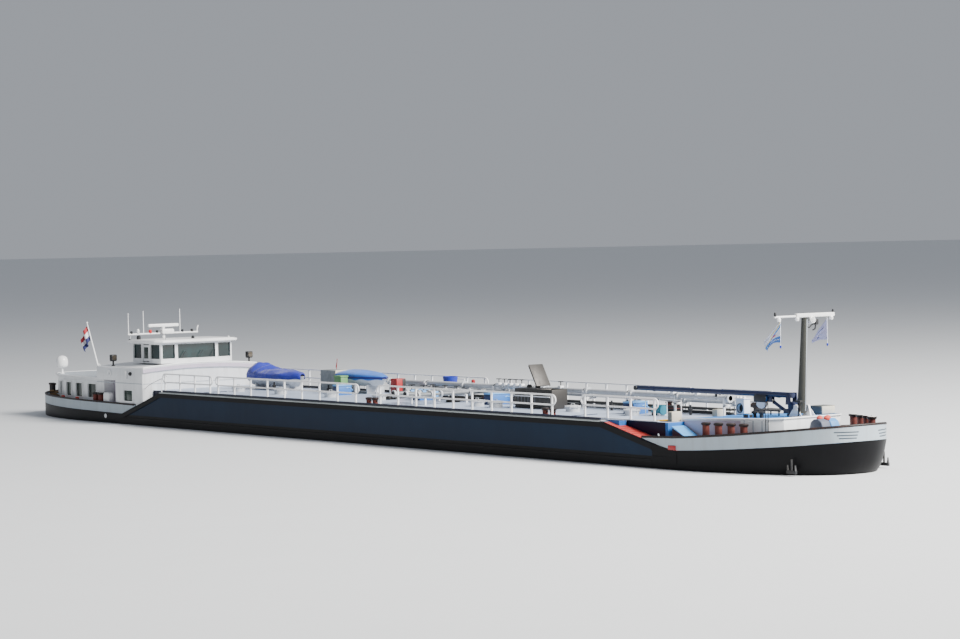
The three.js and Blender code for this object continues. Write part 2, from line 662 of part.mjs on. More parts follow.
function satelliteDome() {
  const foot = AFT_ROOF;
  const profile = [
    [0, 0.4], [0.26, 0.4], [0.36, 0.54], [0.37, 0.8], [0.3, 1.02], [0.16, 1.12], [0, 1.15],
  ].map(([r, z]) => new THREE.Vector2(mm(r), mm(z)));
  const geometry = new THREE.LatheGeometry(profile, 14);
  geometry.rotateX(Math.PI / 2);
  geometry.translate(mm(DOME[0]), mm(DOME[1]), up(foot));
  return toManifold(geometry).add(rod([...DOME, foot + GAP], [...DOME, foot + 0.42], 0.07, 8));
}

const STAFF_FOOT = [-32.7, 0, AFT_ROOF + 0.05];
const STAFF_TOP = [-34.2, 0, 5.82];

function ensignStaff() {
  return join(rod(STAFF_FOOT, STAFF_TOP, 0.055, 8, 0.035),
    block(-32.85, -32.5, -0.12, 0.12, AFT_ROOF + GAP, AFT_ROOF + 0.12));
}

function ensign() {
  const lean = (STAFF_TOP[0] - STAFF_FOOT[0]) / (STAFF_TOP[2] - STAFF_FOOT[2]);
  const edge = (z) => STAFF_FOOT[0] + lean * (z - STAFF_FOOT[2]) - 0.07;
  return sidePlate([
    [edge(5.7), 5.7], [edge(5.7) - 0.25, 5.3], [edge(4.2) - 0.55, 4.0], [edge(4.5) - 0.1, 4.2],
    [edge(4.5), 4.5],
  ], -0.04, 0.04);
}

function searchlight(x, y) {
  const foot = roofHeight(y) + GAP;
  return join(rod([x, y, foot], [x, y, foot + 0.35], 0.06, 8),
    rod([x - 0.16, y, foot + 0.5], [x + 0.2, y, foot + 0.5], 0.19, 12),
    block(x - 0.1, x + 0.1, y - 0.12, y + 0.12, foot + 0.28, foot + 0.4));
}

// Deck gear on the raised deck

const ON_DECK = RAISED_DECK + GAP;

// Two lengthwise pipes on portals, with the cross pipes of the loading manifold
const LINE_PIPES = [
  // breadth, height, radius
  { y: 1.62, z: 2.93, radius: 0.13 },
  { y: 2.05, z: 2.7, radius: 0.1 },
];
const LINE_FROM = -2.3;
const LINE_TO = 26.3;
const PORTALS = [-2.0, 1.4, 7.6, 11.0, 15.2, 18.7, 22.4, 26.0];
const CROSS_PIPES = [4.0, 5.1, 6.2];
const MANIFOLD_HALF = 2.5;

function pipeRack() {
  const crossZ = 2.62;
  const parts = LINE_PIPES.map(({ y, z, radius }) => rod([LINE_FROM, y, z], [LINE_TO, y, z], radius, 10));
  for (const x of PORTALS) {
    parts.push(block(x - 0.05, x + 0.05, 1.42, 1.52, ON_DECK, 2.95));
    parts.push(block(x - 0.05, x + 0.05, 2.12, 2.22, ON_DECK, 2.75));
    parts.push(block(x - 0.05, x + 0.05, 1.42, 2.22, 2.5, 2.62));
  }
  for (const x of CROSS_PIPES) {
    parts.push(rod([x, -MANIFOLD_HALF, crossZ], [x, MANIFOLD_HALF, crossZ], 0.12, 10));
    for (const y of [-MANIFOLD_HALF, -1.6, MANIFOLD_HALF]) {
      parts.push(rod([x, y - 0.05, crossZ], [x, y + 0.05, crossZ], 0.2, 10));
    }
    parts.push(rod([x, -1.3, crossZ + 0.08], [x, -1.3, crossZ + 0.4], 0.05, 8));
    parts.push(rod([x, -1.3, crossZ + 0.38], [x, -1.3, crossZ + 0.44], 0.19, 10));
    parts.push(rod([x, 1.62, crossZ], [x, 1.62, 2.93], 0.1, 8));
  }
  for (const y of [-2.1, 0.6]) {
    parts.push(block(3.8, 6.4, y - 0.05, y + 0.05, ON_DECK, crossZ));
  }
  return join(...parts);
}

// Pump housing with an open top under a lid that leans aft
const HOUSING_TOP = 3.08;
const LID_HINGE = [13.87, 0, HOUSING_TOP + 0.09];
const LID_OPEN = 121;

function hatchBox() {
  const outer = block(12.06, 15.15, -0.5, 0.5, ON_DECK, HOUSING_TOP);
  const inner = block(13.97, 15.07, -0.42, 0.42, 2.2, HOUSING_TOP + 1);
  const [x, , z] = LID_HINGE;
  const lugs = [-0.44, 0.44].map((y) => (
    block(x - 0.04, x + 0.04, y - 0.04, y + 0.04, HOUSING_TOP - 0.1, z - 0.06)));
  return join(cut(outer, inner), ...lugs);
}

function hatchLid() {
  const [x, y, z] = LID_HINGE;
  const plate = toGeometry(block(x + 0.06, x + 1.32, -0.45, 0.45, z - 0.03, z + 0.03));
  plate.translate(-mm(x), -mm(y), -up(z));
  plate.rotateY(-THREE.MathUtils.degToRad(LID_OPEN));
  plate.translate(mm(x), mm(y), up(z));
  return toManifold(plate);
}

function deckBox([x0, x1, y0, y1, height]) {
  return block(x0, x1, y0, y1, ON_DECK, RAISED_DECK + height);
}

// An open boat's shell with its cover, blunt at the aft end
const BOAT_SECTIONS = [
  // share of length, share of half breadth
  [0, 0.78], [0.25, 1], [0.5, 0.97], [0.72, 0.78], [0.88, 0.48], [1, 0.05],
];

function boatHull({ from, to, y, bottom, half, levels }) {
  return loft(levels.map(([height, breadth, reach]) => {
    const starboard = BOAT_SECTIONS.map(([share, wide]) => (
      [from + (to - from) * share * reach, y - half * wide * breadth, bottom + height]));
    return starboard.concat(starboard.map(([x, at, z]) => [x, 2 * y - at, z]).reverse());
  }));
}

function cradle(x0, x1, y, half, height) {
  const parts = [block(x0, x1, y - 0.05, y + 0.05, ON_DECK, RAISED_DECK + 0.1)];
  for (const x of [x0 + 0.15, x1 - 0.15]) {
    parts.push(block(x - 0.06, x + 0.06, y - half, y + half, ON_DECK, RAISED_DECK + height));
  }
  return join(...parts);
}

// Foredeck

const FOREHOUSE_HALF = 2.25;
const FOREHOUSE_FRONT = 33.65;
const FOREHOUSE_TOP = 2.42;
const FOREHOUSE_TOP_AFT = 2.16;

function foredeckHouse() {
  const start = FORE_JOINT + 2 * GAP;
  const plan = [
    [start, -FOREHOUSE_HALF], [FOREHOUSE_FRONT - 0.5, -FOREHOUSE_HALF],
    [FOREHOUSE_FRONT, -FOREHOUSE_HALF + 0.5], [FOREHOUSE_FRONT, FOREHOUSE_HALF - 0.5],
    [FOREHOUSE_FRONT - 0.5, FOREHOUSE_HALF], [start, FOREHOUSE_HALF],
  ];
  const side = [
    [start - 1, FORE_DECK_LOW + GAP], [FORE_BREAK_FOOT, FORE_DECK_LOW + GAP],
    [31, foreSheer(31) + BULWARK_GAP], [34, foreSheer(34) + BULWARK_GAP],
    [34, FOREHOUSE_TOP + 0.02], [start - 1, FOREHOUSE_TOP_AFT],
  ];
  return planPlate(plan, 0, 4).intersect(sidePlate(side, -5, 5));
}

function foredeckTop(x) {
  const share = (x - FORE_JOINT + 1) / (34 - FORE_JOINT + 1);
  return FOREHOUSE_TOP_AFT + (FOREHOUSE_TOP + 0.02 - FOREHOUSE_TOP_AFT) * share;
}

const MAST_X = 32.95;
const MAST_TOP = 7.0;
const MAST_HINGE_Z = 2.8;
const MAST_HEAD_X = 33.25;
const COLUMN_X = 32.3;
const BOOM_PIVOT = [COLUMN_X, 0, 3.36];
const BOOM_TIP_X = 21.2;

function mastFoot() {
  const z = foredeckTop(MAST_X);
  const parts = [block(MAST_X - 0.35, MAST_X + 0.35, -0.45, 0.45, z - 0.05, z + 0.03)];
  for (const y of [-0.34, 0.34]) {
    parts.push(sidePlate([
      [MAST_X - 0.25, z], [MAST_X + 0.3, z],
      [MAST_X + 0.14, MAST_HINGE_Z + 0.14], [MAST_X - 0.1, MAST_HINGE_Z + 0.14],
    ], y - 0.05, y + 0.05));
  }
  return join(...parts);
}

// Mast raked slightly forward, with a thick lamp beam at its head
function mast() {
  const foot = foredeckTop(MAST_X) + 0.17;
  const x = MAST_HEAD_X;
  const parts = [
    rod([MAST_X, 0, foot], [x, 0, MAST_TOP - 0.1], 0.21, 12, 0.14),
    rod([MAST_X, -0.28, MAST_HINGE_Z], [MAST_X, 0.28, MAST_HINGE_Z], 0.08, 12),
    rod([x, -1.85, MAST_TOP], [x, 1.85, MAST_TOP], 0.05, 8),
    block(x - 0.1, x + 0.1, -0.55, 1.8, MAST_TOP - 0.06, MAST_TOP + 0.12),
    rod([x, 0, MAST_TOP - 0.2], [x, 0, MAST_TOP + 0.05], 0.14, 12),
    rod([x + 0.05, 0.3, MAST_TOP - 0.5], [x + 0.05, 0.3, MAST_TOP], 0.17, 10),
    rod([x, -1.8, MAST_TOP], [x, -1.8, MAST_TOP + 0.22], 0.04, 8),
    rod([x, 1.78, MAST_TOP], [x, 1.78, MAST_TOP + 0.26], 0.04, 8),
  ];
  return join(...parts);
}

// Pointed pennant that hangs slack from its halyard
function pennant(y) {
  const x = MAST_HEAD_X;
  const strip = [[x + 0.03, y - 0.02], [x + 0.03, y + 0.02], [x - 1.05, y + 0.1], [x - 1.05, y + 0.06]];
  const drape = [
    [0.03, 0.12], [0.03, 1.1], [-0.5, 1.2], [-1.02, 1.28], [-1.0, 1.05], [-0.45, 0.55],
  ].map(([dx, below]) => [x + dx, MAST_TOP - below]);
  return planPlate(strip, MAST_TOP - 2, MAST_TOP).intersect(sidePlate(drape, y - 1, y + 1));
}

function craneColumn() {
  const z = foredeckTop(COLUMN_X) + 0.02;
  const parts = [
    rod([COLUMN_X, 0, z + 0.07], [COLUMN_X, 0, BOOM_PIVOT[2] - 0.3], 0.18, 14),
    rod([COLUMN_X, 0, z + 0.01], [COLUMN_X, 0, z + 0.09], 0.24, 14),
  ];
  const [shelf, eye] = [BOOM_PIVOT[2] - 0.43, BOOM_PIVOT[2] + 0.12];
  for (const y of [-0.21, 0.21]) {
    parts.push(sidePlate([
      [COLUMN_X - 0.16, shelf], [COLUMN_X + 0.16, shelf], [COLUMN_X + 0.12, eye], [COLUMN_X - 0.12, eye],
    ], y - 0.03, y + 0.03));
  }
  parts.push(block(COLUMN_X - 0.16, COLUMN_X + 0.16, -0.24, 0.24, shelf, shelf + 0.13));
  for (const y of [-0.11, 0.11]) {
    parts.push(block(COLUMN_X - 0.42, COLUMN_X - 0.1, y - 0.03, y + 0.03, z + 0.12, z + 0.32));
  }
  return join(...parts);
}

function craneBoom() {
  const [x, , z] = BOOM_PIVOT;
  return join(
    rod([x, 0, z], [BOOM_TIP_X, 0, z], 0.13, 12, 0.11),
    rod([x, -0.17, z], [x, 0.17, z], 0.09, 12),
    block(x - 2.35, x - 1.55, -0.2, 0.2, z - 0.38, z - 0.05),
    block(x - 1.47, x - 1.23, -0.1, -0.065, z - 0.36, z - 0.05),
    block(x - 1.47, x - 1.23, 0.065, 0.1, z - 0.36, z - 0.05),
    rod([BOOM_TIP_X + 0.1, -0.16, z], [BOOM_TIP_X + 0.1, 0.16, z], 0.115, 12),
  );
}

const CYLINDER_FOOT = [COLUMN_X - 0.34, 0, 2.6];
const CYLINDER_HEAD = [COLUMN_X - 1.35, 0, BOOM_PIVOT[2] - 0.28];

function along(share) {
  return CYLINDER_FOOT.map((value, i) => value + (CYLINDER_HEAD[i] - value) * share);
}

function craneCylinder() {
  const [x, , z] = CYLINDER_FOOT;
  const eye = rod([x, -0.07, z], [x, 0.07, z], 0.09, 12);
  const barrel = rod(CYLINDER_FOOT, along(0.86), 0.08, 12).add(eye);
  return barrel.subtract(rod(along(0.15), along(0.9), 0.048, 12));
}

function craneRod() {
  return rod(along(0.18), along(0.97), 0.04, 12);
}

// Upright vent box with a round opening in its starboard face
function ventHouse() {
  const z = foredeckTop(28.05) + 2 * GAP;
  const recess = rod([27.75, 0.5, 2.55], [27.75, 1.1, 2.55], 0.2, 12);
  return block(27.45, 28.05, 0.9, 1.3, z, 3.0).subtract(recess);
}

// Windlass with two drums beside its middle stand
function windlass() {
  const x = 34.57;
  const base = foreSheer(x + 0.52) + GAP;
  const axle = base + 0.54;
  return join(
    block(x - 0.52, x + 0.52, -0.78, 0.58, base, base + 0.08),
    block(x - 0.2, x + 0.2, -0.2, 0, base, base + 0.7),
    rod([x, -0.74, axle], [x, 0.54, axle], 0.12, 12),
    rod([x, -0.62, axle], [x, -0.24, axle], 0.44, 16),
    rod([x, 0.04, axle], [x, 0.42, axle], 0.44, 16),
  );
}

function anchor(side) {
  const x = 35.3;
  const y = side * 2.86;
  return join(
    block(x - 0.3, x + 0.3, y - 0.06, y + 0.06, 0.1, 0.25),
    rod([x, y, 0.15], [x, y, 0.75], 0.05, 8),
    sidePlate([[x - 0.3, 0.12], [x - 0.2, 0.1], [x - 0.25, 0.5]], y - 0.05, y + 0.05),
    sidePlate([[x + 0.2, 0.1], [x + 0.3, 0.12], [x + 0.25, 0.5]], y - 0.05, y + 0.05),
  );
}

// Materials

function paint(color, roughness, metalness = 0) {
  return new THREE.MeshStandardMaterial({ color, roughness, metalness });
}

const FINISH = {
  navy: paint(0x14202f, 0.5),
  black: paint(0x111114, 0.6),
  white: paint(0xf0f0ee, 0.45),
  pale: paint(0xb9c8d2, 0.5),
  deckBlue: paint(0x8fa9c4, 0.7),
  glass: paint(0x1c3538, 0.1),
  steel: paint(0x4a4d4c, 0.55, 0.6),
  bronze: paint(0x9a7a45, 0.4, 0.9),
  rust: paint(0x5b2a24, 0.7),
  boxBlue: paint(0x3f78b0, 0.5),
  coverBlue: paint(0x2148c8, 0.7),
  azure: paint(0x3f8fe0, 0.7),
  olive: paint(0x4f5048, 0.6),
  cloth: paint(0xd8d8ee, 0.8),
};

// Assembly, in the order of the ship's own blocks

const ship = new THREE.Group();

function place(name, solid, material) {
  const piece = new THREE.Mesh(toGeometry(solid), material);
  piece.name = name;
  ship.add(piece);
}

place('hull_midbody', midbody(), FINISH.navy);
place('hull_forebody', forebody(), FINISH.black);
place('hull_afterbody', join(afterbody(), nozzle()), FINISH.black);
place('engine_block', block(-26.8, -24.2, -0.9, 0.9, KEEL + 0.36, 0.3), FINISH.steel);
place('bow_bulwark', bowBulwark(), FINISH.pale);
place('stern_bulwark', sternBulwark(), FINISH.pale);
for (const [word, side] of [['stbd', -1], ['port', 1]]) {
  place(`side_rail_${word}`, sideRail(side), FINISH.white);
  place(`fore_rail_${word}`, foreRail(side), FINISH.white);
  const bowPosts = [0, 1, 2, 3].map((step) => [29.85 + 0.74 * step, side * (3.08 - 0.11 * step)]);
  place(`bollards_fore_${word}`, bollards(bowPosts, 1.76, 0.17, 0.4, foreSheer), FINISH.rust);
  const sidePosts = [[-26.4, side * 3.76], [-25.75, side * 3.76]];
  place(`bollards_house_${word}`, bollards(sidePosts, 1.35, 0.17, 0.4, aftSheer), FINISH.rust);
  const sternPosts = [[-35.45, side * 2.0], [-34.9, side * 2.2]];
  place(`bollards_stern_${word}`, bollards(sternPosts, 1.6, 0.15, 0.4, aftSheer), FINISH.rust);
  place(`anchor_${word}`, anchor(side), FINISH.black);
  place(`rudder_${word}`, rudder(side), FINISH.black);
  place(`aft_house_glass_${word}`, aftGlass(side), FINISH.glass);
}
place('superstructure', superstructure(), FINISH.white);
place('cabin_door', cabinDoor(), FINISH.white);
place('aft_house', aftHouse(), FINISH.white);
place('wheelhouse', wheelhouse(), FINISH.white);
place('wheelhouse_glass', wheelhouseGlass(), FINISH.glass);
place('wheelhouse_roof', wheelhouseRoof(), FINISH.white);
place('wheelhouse_door', wheelhouseDoor(), FINISH.white);
place('helm_desk', helmDesk(), FINISH.steel);
place('radar_mast', radarMast(), FINISH.white);
place('radar_scanner', radarScanner(), FINISH.white);
place('satellite_dome', satelliteDome(), FINISH.white);
place('ensign_staff', ensignStaff(), FINISH.white);
place('ensign', ensign(), FINISH.cloth);
place('searchlight_stbd', searchlight(-24.4, -3.6), FINISH.steel);
place('searchlight_port', searchlight(-20.6, 3.8), FINISH.steel);
place('cargo_pipes', pipeRack(), FINISH.white);
place('hatch_box', hatchBox(), FINISH.steel);
place('hatch_lid', hatchLid(), FINISH.steel);
const DECK_BOXES = {
  // from, to, starboard side, port side, height over the deck
  aft: [-5.9, -5.4, 0.2, 1.15, 0.6],
  mid: [1.95, 2.75, 0.1, 1.15, 0.6],
  fore: [8.7, 9.4, 0.0, 1.25, 0.62],
  bow: [20.7, 21.5, -0.43, 0.5, 0.62],
};
for (const [where, size] of Object.entries(DECK_BOXES)) {
  place(`deck_box_${where}`, deckBox(size), FINISH.boxBlue);
}
place('red_cabinet', deckBox([-0.3, 0.3, 0.3, 0.9, 1.1]), FINISH.rust);
place('deck_crate', deckBox([-10.2, -8.6, 2.2, 3.1, 1.25]), FINISH.steel);
const COVERED_BOAT = {
  from: -16.5, to: -11.4, y: 1.8, bottom: 2.3, half: 1.0,
  levels: [[0, 0.35, 0.9], [0.3, 0.85, 0.95], [0.65, 1, 1], [0.85, 0.75, 0.94], [1.0, 0.2, 0.8]],
};
const SHIP_BOAT = {
  from: -8.3, to: -4.0, y: 2.6, bottom: 2.5, half: 0.85,
  levels: [[0, 0.35, 0.9], [0.25, 0.85, 0.95], [0.5, 1, 1], [0.68, 0.8, 0.94], [0.85, 0.25, 0.8]],
};
const coveredEngine = rod([-16.05, 1.8, 3.0], [-16.05, 1.8, 3.62], 0.42, 10, 0.22);
const boatCradle = cradle(-15.9, -12.4, 1.8, 0.6, 0.4);
place('covered_boat', join(boatHull(COVERED_BOAT), coveredEngine, boatCradle), FINISH.coverBlue);
place('ship_boat', join(boatHull(SHIP_BOAT), cradle(-7.8, -5.0, 2.6, 0.6, 0.6)), FINISH.azure);
const equipmentBox = block(32.2, 32.9, 1.3, 2.1, 2.3, 2.8);
place('foredeck_house', join(foredeckHouse(), mastFoot(), equipmentBox), FINISH.white);
place('mast', mast(), FINISH.olive);
place('pennant_stbd', pennant(-1.5), FINISH.cloth);
place('pennant_port', pennant(1.4), FINISH.cloth);
place('crane_column', craneColumn(), FINISH.navy);
place('crane_boom', craneBoom(), FINISH.navy);
place('crane_cylinder', craneCylinder(), FINISH.navy);
place('crane_rod', craneRod(), FINISH.steel);
place('vent_house', ventHouse(), FINISH.white);
const bowBollards = [[34.1, 2.15], [34.75, 1.97], [35.4, 1.73], [36.1, 1.35]];
place('bollards_bow', bollards(bowBollards, 2.04, 0.17, 0.4, foreSheer), FINISH.rust);
place('windlass', windlass(), FINISH.rust);
place('propeller', propeller(), FINISH.bronze);

export default ship;
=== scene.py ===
"""Finished surfaces around the frame of an inland motor tanker, a 1:10 model.

Places are real metres of the ship: X from midships to the bow, Y to port, and heights
from the waterline. Shape.piece() turns them into the frame's own metres.
"""

import functools
import math

import bmesh
import bpy
from mathutils import Matrix, Vector, noise


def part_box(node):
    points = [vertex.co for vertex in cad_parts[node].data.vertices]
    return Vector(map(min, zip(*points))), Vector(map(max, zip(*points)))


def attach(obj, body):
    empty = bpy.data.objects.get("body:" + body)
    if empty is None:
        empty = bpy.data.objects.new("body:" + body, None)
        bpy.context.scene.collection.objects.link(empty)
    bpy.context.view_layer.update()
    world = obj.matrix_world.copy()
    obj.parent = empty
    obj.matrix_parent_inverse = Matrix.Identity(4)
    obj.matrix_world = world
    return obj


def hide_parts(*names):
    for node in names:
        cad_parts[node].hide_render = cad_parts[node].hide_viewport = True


bl_info = {
    "name": "River Tanker Finish",
    "version": (1, 0, 0),
    "blender": (4, 5, 0),
    "location": "3D View > Sidebar > Tanker",
    "description": "Builds the finished surfaces of a river motor tanker around its frame",
    "category": "Object",
}

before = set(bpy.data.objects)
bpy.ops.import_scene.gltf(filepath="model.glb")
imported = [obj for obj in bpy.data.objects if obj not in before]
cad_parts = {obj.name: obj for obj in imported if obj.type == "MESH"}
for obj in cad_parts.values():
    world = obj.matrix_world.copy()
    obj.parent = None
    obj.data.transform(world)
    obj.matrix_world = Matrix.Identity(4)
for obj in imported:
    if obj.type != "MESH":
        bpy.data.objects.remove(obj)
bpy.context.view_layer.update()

SCALE = 0.1
DRAUGHT = 1.8
TO_FRAME = Matrix.Translation((0, 0, DRAUGHT * SCALE)) @ Matrix.Scale(SCALE, 4)
TO_SHIP = TO_FRAME.inverted()
SIDES = (("stbd", -1), ("port", 1))
SHARP_SOLID = 0.5
SHARP_NODE = 0.55
AXIS_RADIUS = 0.0008


def span(node):
    """Lowest and highest corner of a node of the frame, in ship metres."""
    low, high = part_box(node)
    return TO_SHIP @ low, TO_SHIP @ high


def srgb(red, green, blue):
    """Linear colour of a screen colour given from 0 to 255."""
    return tuple(((v / 255 + 0.055) / 1.055) ** 2.4 if v > 10 else v / 3294 for v in (red, green, blue))


# Shape of the hull, as in the frame

HALF_LENGTH = 37.3
HALF_BEAM = 4.1
KEEL = -DRAUGHT
DECK = 2.08
TRUNK_HALF = 3.25
FORE_JOINT = 27.205
AFT_JOINT = -23.005
FORE_BREAK_TOP = 23.4
FORE_BREAK_FOOT = 28.5
AFT_BREAK_TOP = -17.9
AFT_BREAK_FOOT = -22.6
MAST_X = 32.95
MAST_HEAD_X = 33.25
MAST_TOP = 7.0
FORE_DECK = (0.89, 1.5)
AFT_DECK = (0.62, 0.85)
HOUSE_HALF = 4.0
COUNTER = -0.12
STERN_RUN = 10.0
SHAFT_HEIGHT = -0.98
PROPELLER_X = -32.9


def fore_sheer(x):
    share = max(0.0, x - FORE_BREAK_FOOT) / (HALF_LENGTH - FORE_BREAK_FOOT)
    return FORE_DECK[0] + (FORE_DECK[1] - FORE_DECK[0]) * share**1.3


def aft_sheer(x):
    share = max(0.0, AFT_BREAK_FOOT - x) / (HALF_LENGTH + AFT_BREAK_FOOT)
    return AFT_DECK[0] + (AFT_DECK[1] - AFT_DECK[0]) * share**1.2


def fore_ramp(x):
    slope = (DECK - FORE_DECK[0]) / (FORE_BREAK_FOOT - FORE_BREAK_TOP)
    return DECK - slope * (x - FORE_BREAK_TOP)


def aft_ramp(x):
    slope = (DECK - AFT_DECK[0]) / (AFT_BREAK_TOP - AFT_BREAK_FOOT)
    return DECK - slope * (AFT_BREAK_TOP - x)


def end_curve(joint, run, half, fullness, steps=40):
    """Plan of a round end from its starboard joint round the tip to its port joint."""
    starboard = []
    for i in range(steps + 1):
        turn = i / steps * math.pi / 2
        breadth = half * max(0.0, math.cos(turn)) ** fullness
        starboard.append((joint + run * math.sin(turn), -max(breadth, 0.02)))
    return starboard + [(x, -y) for x, y in reversed(starboard)]


def house_roof(y):
    return 3.42 + 0.2 * (1 - (y / HOUSE_HALF) ** 2)


def foredeck_top(x):
    share = (x - 26.2) / (34 - 26.2)
    return 2.16 + (2.44 - 2.16) * share


def through(levels, steps):
    """Rings on a smooth curve through a few given rings."""
    levels = [[Vector(p) for p in ring] for ring in levels]
    rings = []
    for k in range(len(levels) - 1):
        before = levels[max(k - 1, 0)]
        after = levels[min(k + 2, len(levels) - 1)]
        for step in range(steps):
            t = step / steps
            rings.append([
                0.5 * (2 * p1 + (p2 - p0) * t + (2 * p0 - 5 * p1 + 4 * p2 - p3) * t**2
                       + (3 * p1 - p0 - 3 * p2 + p3) * t**3)
                for p0, p1, p2, p3 in zip(before, levels[k], levels[k + 1], after)])
    return rings + [levels[-1]]


# Meshes

def in_plane(plane, a, b, c):
    """Point with a and b in the XY, XZ or YZ plane, and c along the third axis."""
    return {"XY": (a, b, c), "XZ": (a, c, b), "YZ": (c, a, b)}[plane]


def circle(radius, steps, turns=1):
    """Points (a, b) on a circle, from its first axis on, with the last one left out."""
    for k in range(steps * turns):
        turn = 2 * math.pi * k / steps
        yield radius * math.cos(turn), radius * math.sin(turn)


def arc(centre, radius, start, end, steps, plane="XZ", fixed=0.0):
    """Points on an arc, in degrees from the first axis of its plane."""
    points = []
    for i in range(steps + 1):
        turn = math.radians(start + (end - start) * i / steps)
        a, b = centre[0] + radius * math.cos(turn), centre[1] + radius * math.sin(turn)
        points.append(in_plane(plane, a, b, fixed))
    return points


def place_in_scene(name, mesh, body, replaced=()):
    """An object for a mesh of the frame's own metres, riding on a body of the frame."""
    obj = bpy.data.objects.new(name, mesh)
    bpy.context.scene.collection.objects.link(obj)
    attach(obj, body)
    if replaced:
        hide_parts(*replaced)
    return obj


def dress(node, name):
    """Gives a node of the frame, whose shape stays, a finish."""
    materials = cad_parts[node].data.materials
    materials.clear()
    materials.append(finish(name))


class Shape:
    """Closed solids in ship metres, gathered into one mesh with a few finishes."""

    def __init__(self, *finishes):
        self.mesh = bmesh.new()
        self.finishes = finishes

    def solid(self, points, faces, finish=0, bevel=0.0):
        """Adds one solid, with its sharp edges rounded by the bevel."""
        made = [self.mesh.verts.new(p) for p in points]
        new = [self.mesh.faces.new([made[i] for i in face]) for face in faces]
        bmesh.ops.recalc_face_normals(self.mesh, faces=new)
        for face in new:
            face.material_index = finish
            face.smooth = True
        if bevel:
            edges = {edge for face in new for edge in face.edges if edge.calc_face_angle(0) > SHARP_SOLID}
            round_edges(self.mesh, list(edges), bevel)
        return self

    def box(self, x0, x1, y0, y1, z0, z1, finish=0, bevel=0.02, matrix=None):
        """Box between two values on each axis, with Y in either order."""
        points = [Vector((x, y, z)) for x in (x0, x1) for y in sorted((y0, y1)) for z in (z0, z1)]
        if matrix:
            points = [matrix @ p for p in points]
        faces = [(0, 1, 3, 2), (4, 6, 7, 5), (0, 4, 5, 1), (2, 3, 7, 6), (0, 2, 6, 4), (1, 5, 7, 3)]
        return self.solid(points, faces, finish, bevel)

    def stand(self, x, y, half_x, half_y, z0, z1, finish=0, bevel=0.02):
        """Box around an upright axis, from its half widths."""
        return self.box(x - half_x, x + half_x, y - half_y, y + half_y, z0, z1, finish, bevel)

    def loft(self, rings, finish=0, closed=True, paired=False, bevel=0.0):
        """Skin over rings of equal count. Paired caps join each ring's two halves."""
        count = len(rings[0])
        points = [p for ring in rings for p in ring]
        faces = []
        for k in range(len(rings) - 1):
            for i in range(count):
                a, b = k * count + i, k * count + (i + 1) % count
                faces.append((a, b, b + count, a + count))
        if closed:
            for start in (0, (len(rings) - 1) * count):
                if paired:
                    for i in range(count // 2 - 1):
                        j = count - 1 - i
                        faces.append((start + i, start + i + 1, start + j - 1, start + j))
                else:
                    faces.append(tuple(range(start, start + count)))
        return self.solid(points, faces, finish, bevel)

    def tube(self, points, radius, sides=8, finish=0):
        """Round bar along points. The radius may be a list with one value for each point."""
        points = [Vector(p) for p in points]
        radii = radius if isinstance(radius, (list, tuple)) else [radius] * len(points)
        rings, across = [], None
        for i, point in enumerate(points):
            ahead = (points[min(i + 1, len(points) - 1)] - points[max(i - 1, 0)]).normalized()
            if across is None:
                across = ahead.orthogonal().normalized()
            across = (across - ahead * across.dot(ahead)).normalized()
            other = ahead.cross(across)
            rings.append([point + across * a + other * b for a, b in circle(radii[i], sides)])
        return self.loft(rings, finish)

    def turned(self, profile, origin, axis=(0, 0, 1), sides=20, finish=0):
        """Solid of revolution from (radius, height) pairs along an axis through an origin."""
        axis = Vector(axis).normalized()
        across = axis.orthogonal().normalized()
        other = axis.cross(across)
        return self.loft([[
            Vector(origin) + axis * height + across * a + other * b
            for a, b in circle(max(radius, AXIS_RADIUS), sides)] for radius, height in profile], finish)

    def prism(self, outline, plane, low, high, finish=0, bevel=0.0):
        """Outline in the XY, XZ or YZ plane, drawn out along the third axis."""
        rings = [[in_plane(plane, a, b, c) for a, b in outline] for c in sorted((low, high))]
        return self.loft(rings, finish, bevel=bevel)

    def absorb(self, mesh, finish=0):
        """Takes in a mesh and removes it from the file."""
        before = len(self.mesh.faces)
        self.mesh.from_mesh(mesh)
        self.mesh.faces.ensure_lookup_table()
        for face in self.mesh.faces[before:]:
            face.material_index = finish
            face.smooth = True
        bpy.data.meshes.remove(mesh)
        return self

    def node(self, name, bevel):
        """Takes in a rounded copy of a node of the frame."""
        part = bmesh.new()
        part.from_mesh(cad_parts[name].data)
        bmesh.ops.transform(part, matrix=TO_SHIP, verts=part.verts)
        bmesh.ops.remove_doubles(part, verts=part.verts, dist=1e-4)
        bmesh.ops.dissolve_limit(part, angle_limit=0.02, verts=part.verts, edges=part.edges)
        edges = [edge for edge in part.edges if edge.is_manifold and edge.calc_face_angle(0) > SHARP_NODE]
        round_edges(part, edges, bevel)
        bmesh.ops.triangulate(part, faces=[face for face in part.faces if len(face.verts) > 4])
        copy = bpy.data.meshes.new("copy")
        part.to_mesh(copy)
        part.free()
        return self.absorb(copy)

    def bars(self, paths, radius, sides=8, finish=0):
        """Round bars along paths in ship metres, made by Geometry Nodes."""
        points, edges = [], []
        for path in paths:
            first = len(points)
            points.extend(tuple(p) for p in path)
            edges.extend((i, i + 1) for i in range(first, len(points) - 1))
        lines = bpy.data.meshes.new("lines")
        lines.from_pydata(points, edges, [])
        return self.absorb(run_tree(bar_tree(), lines, {"Radius": radius, "Sides": sides}), finish)

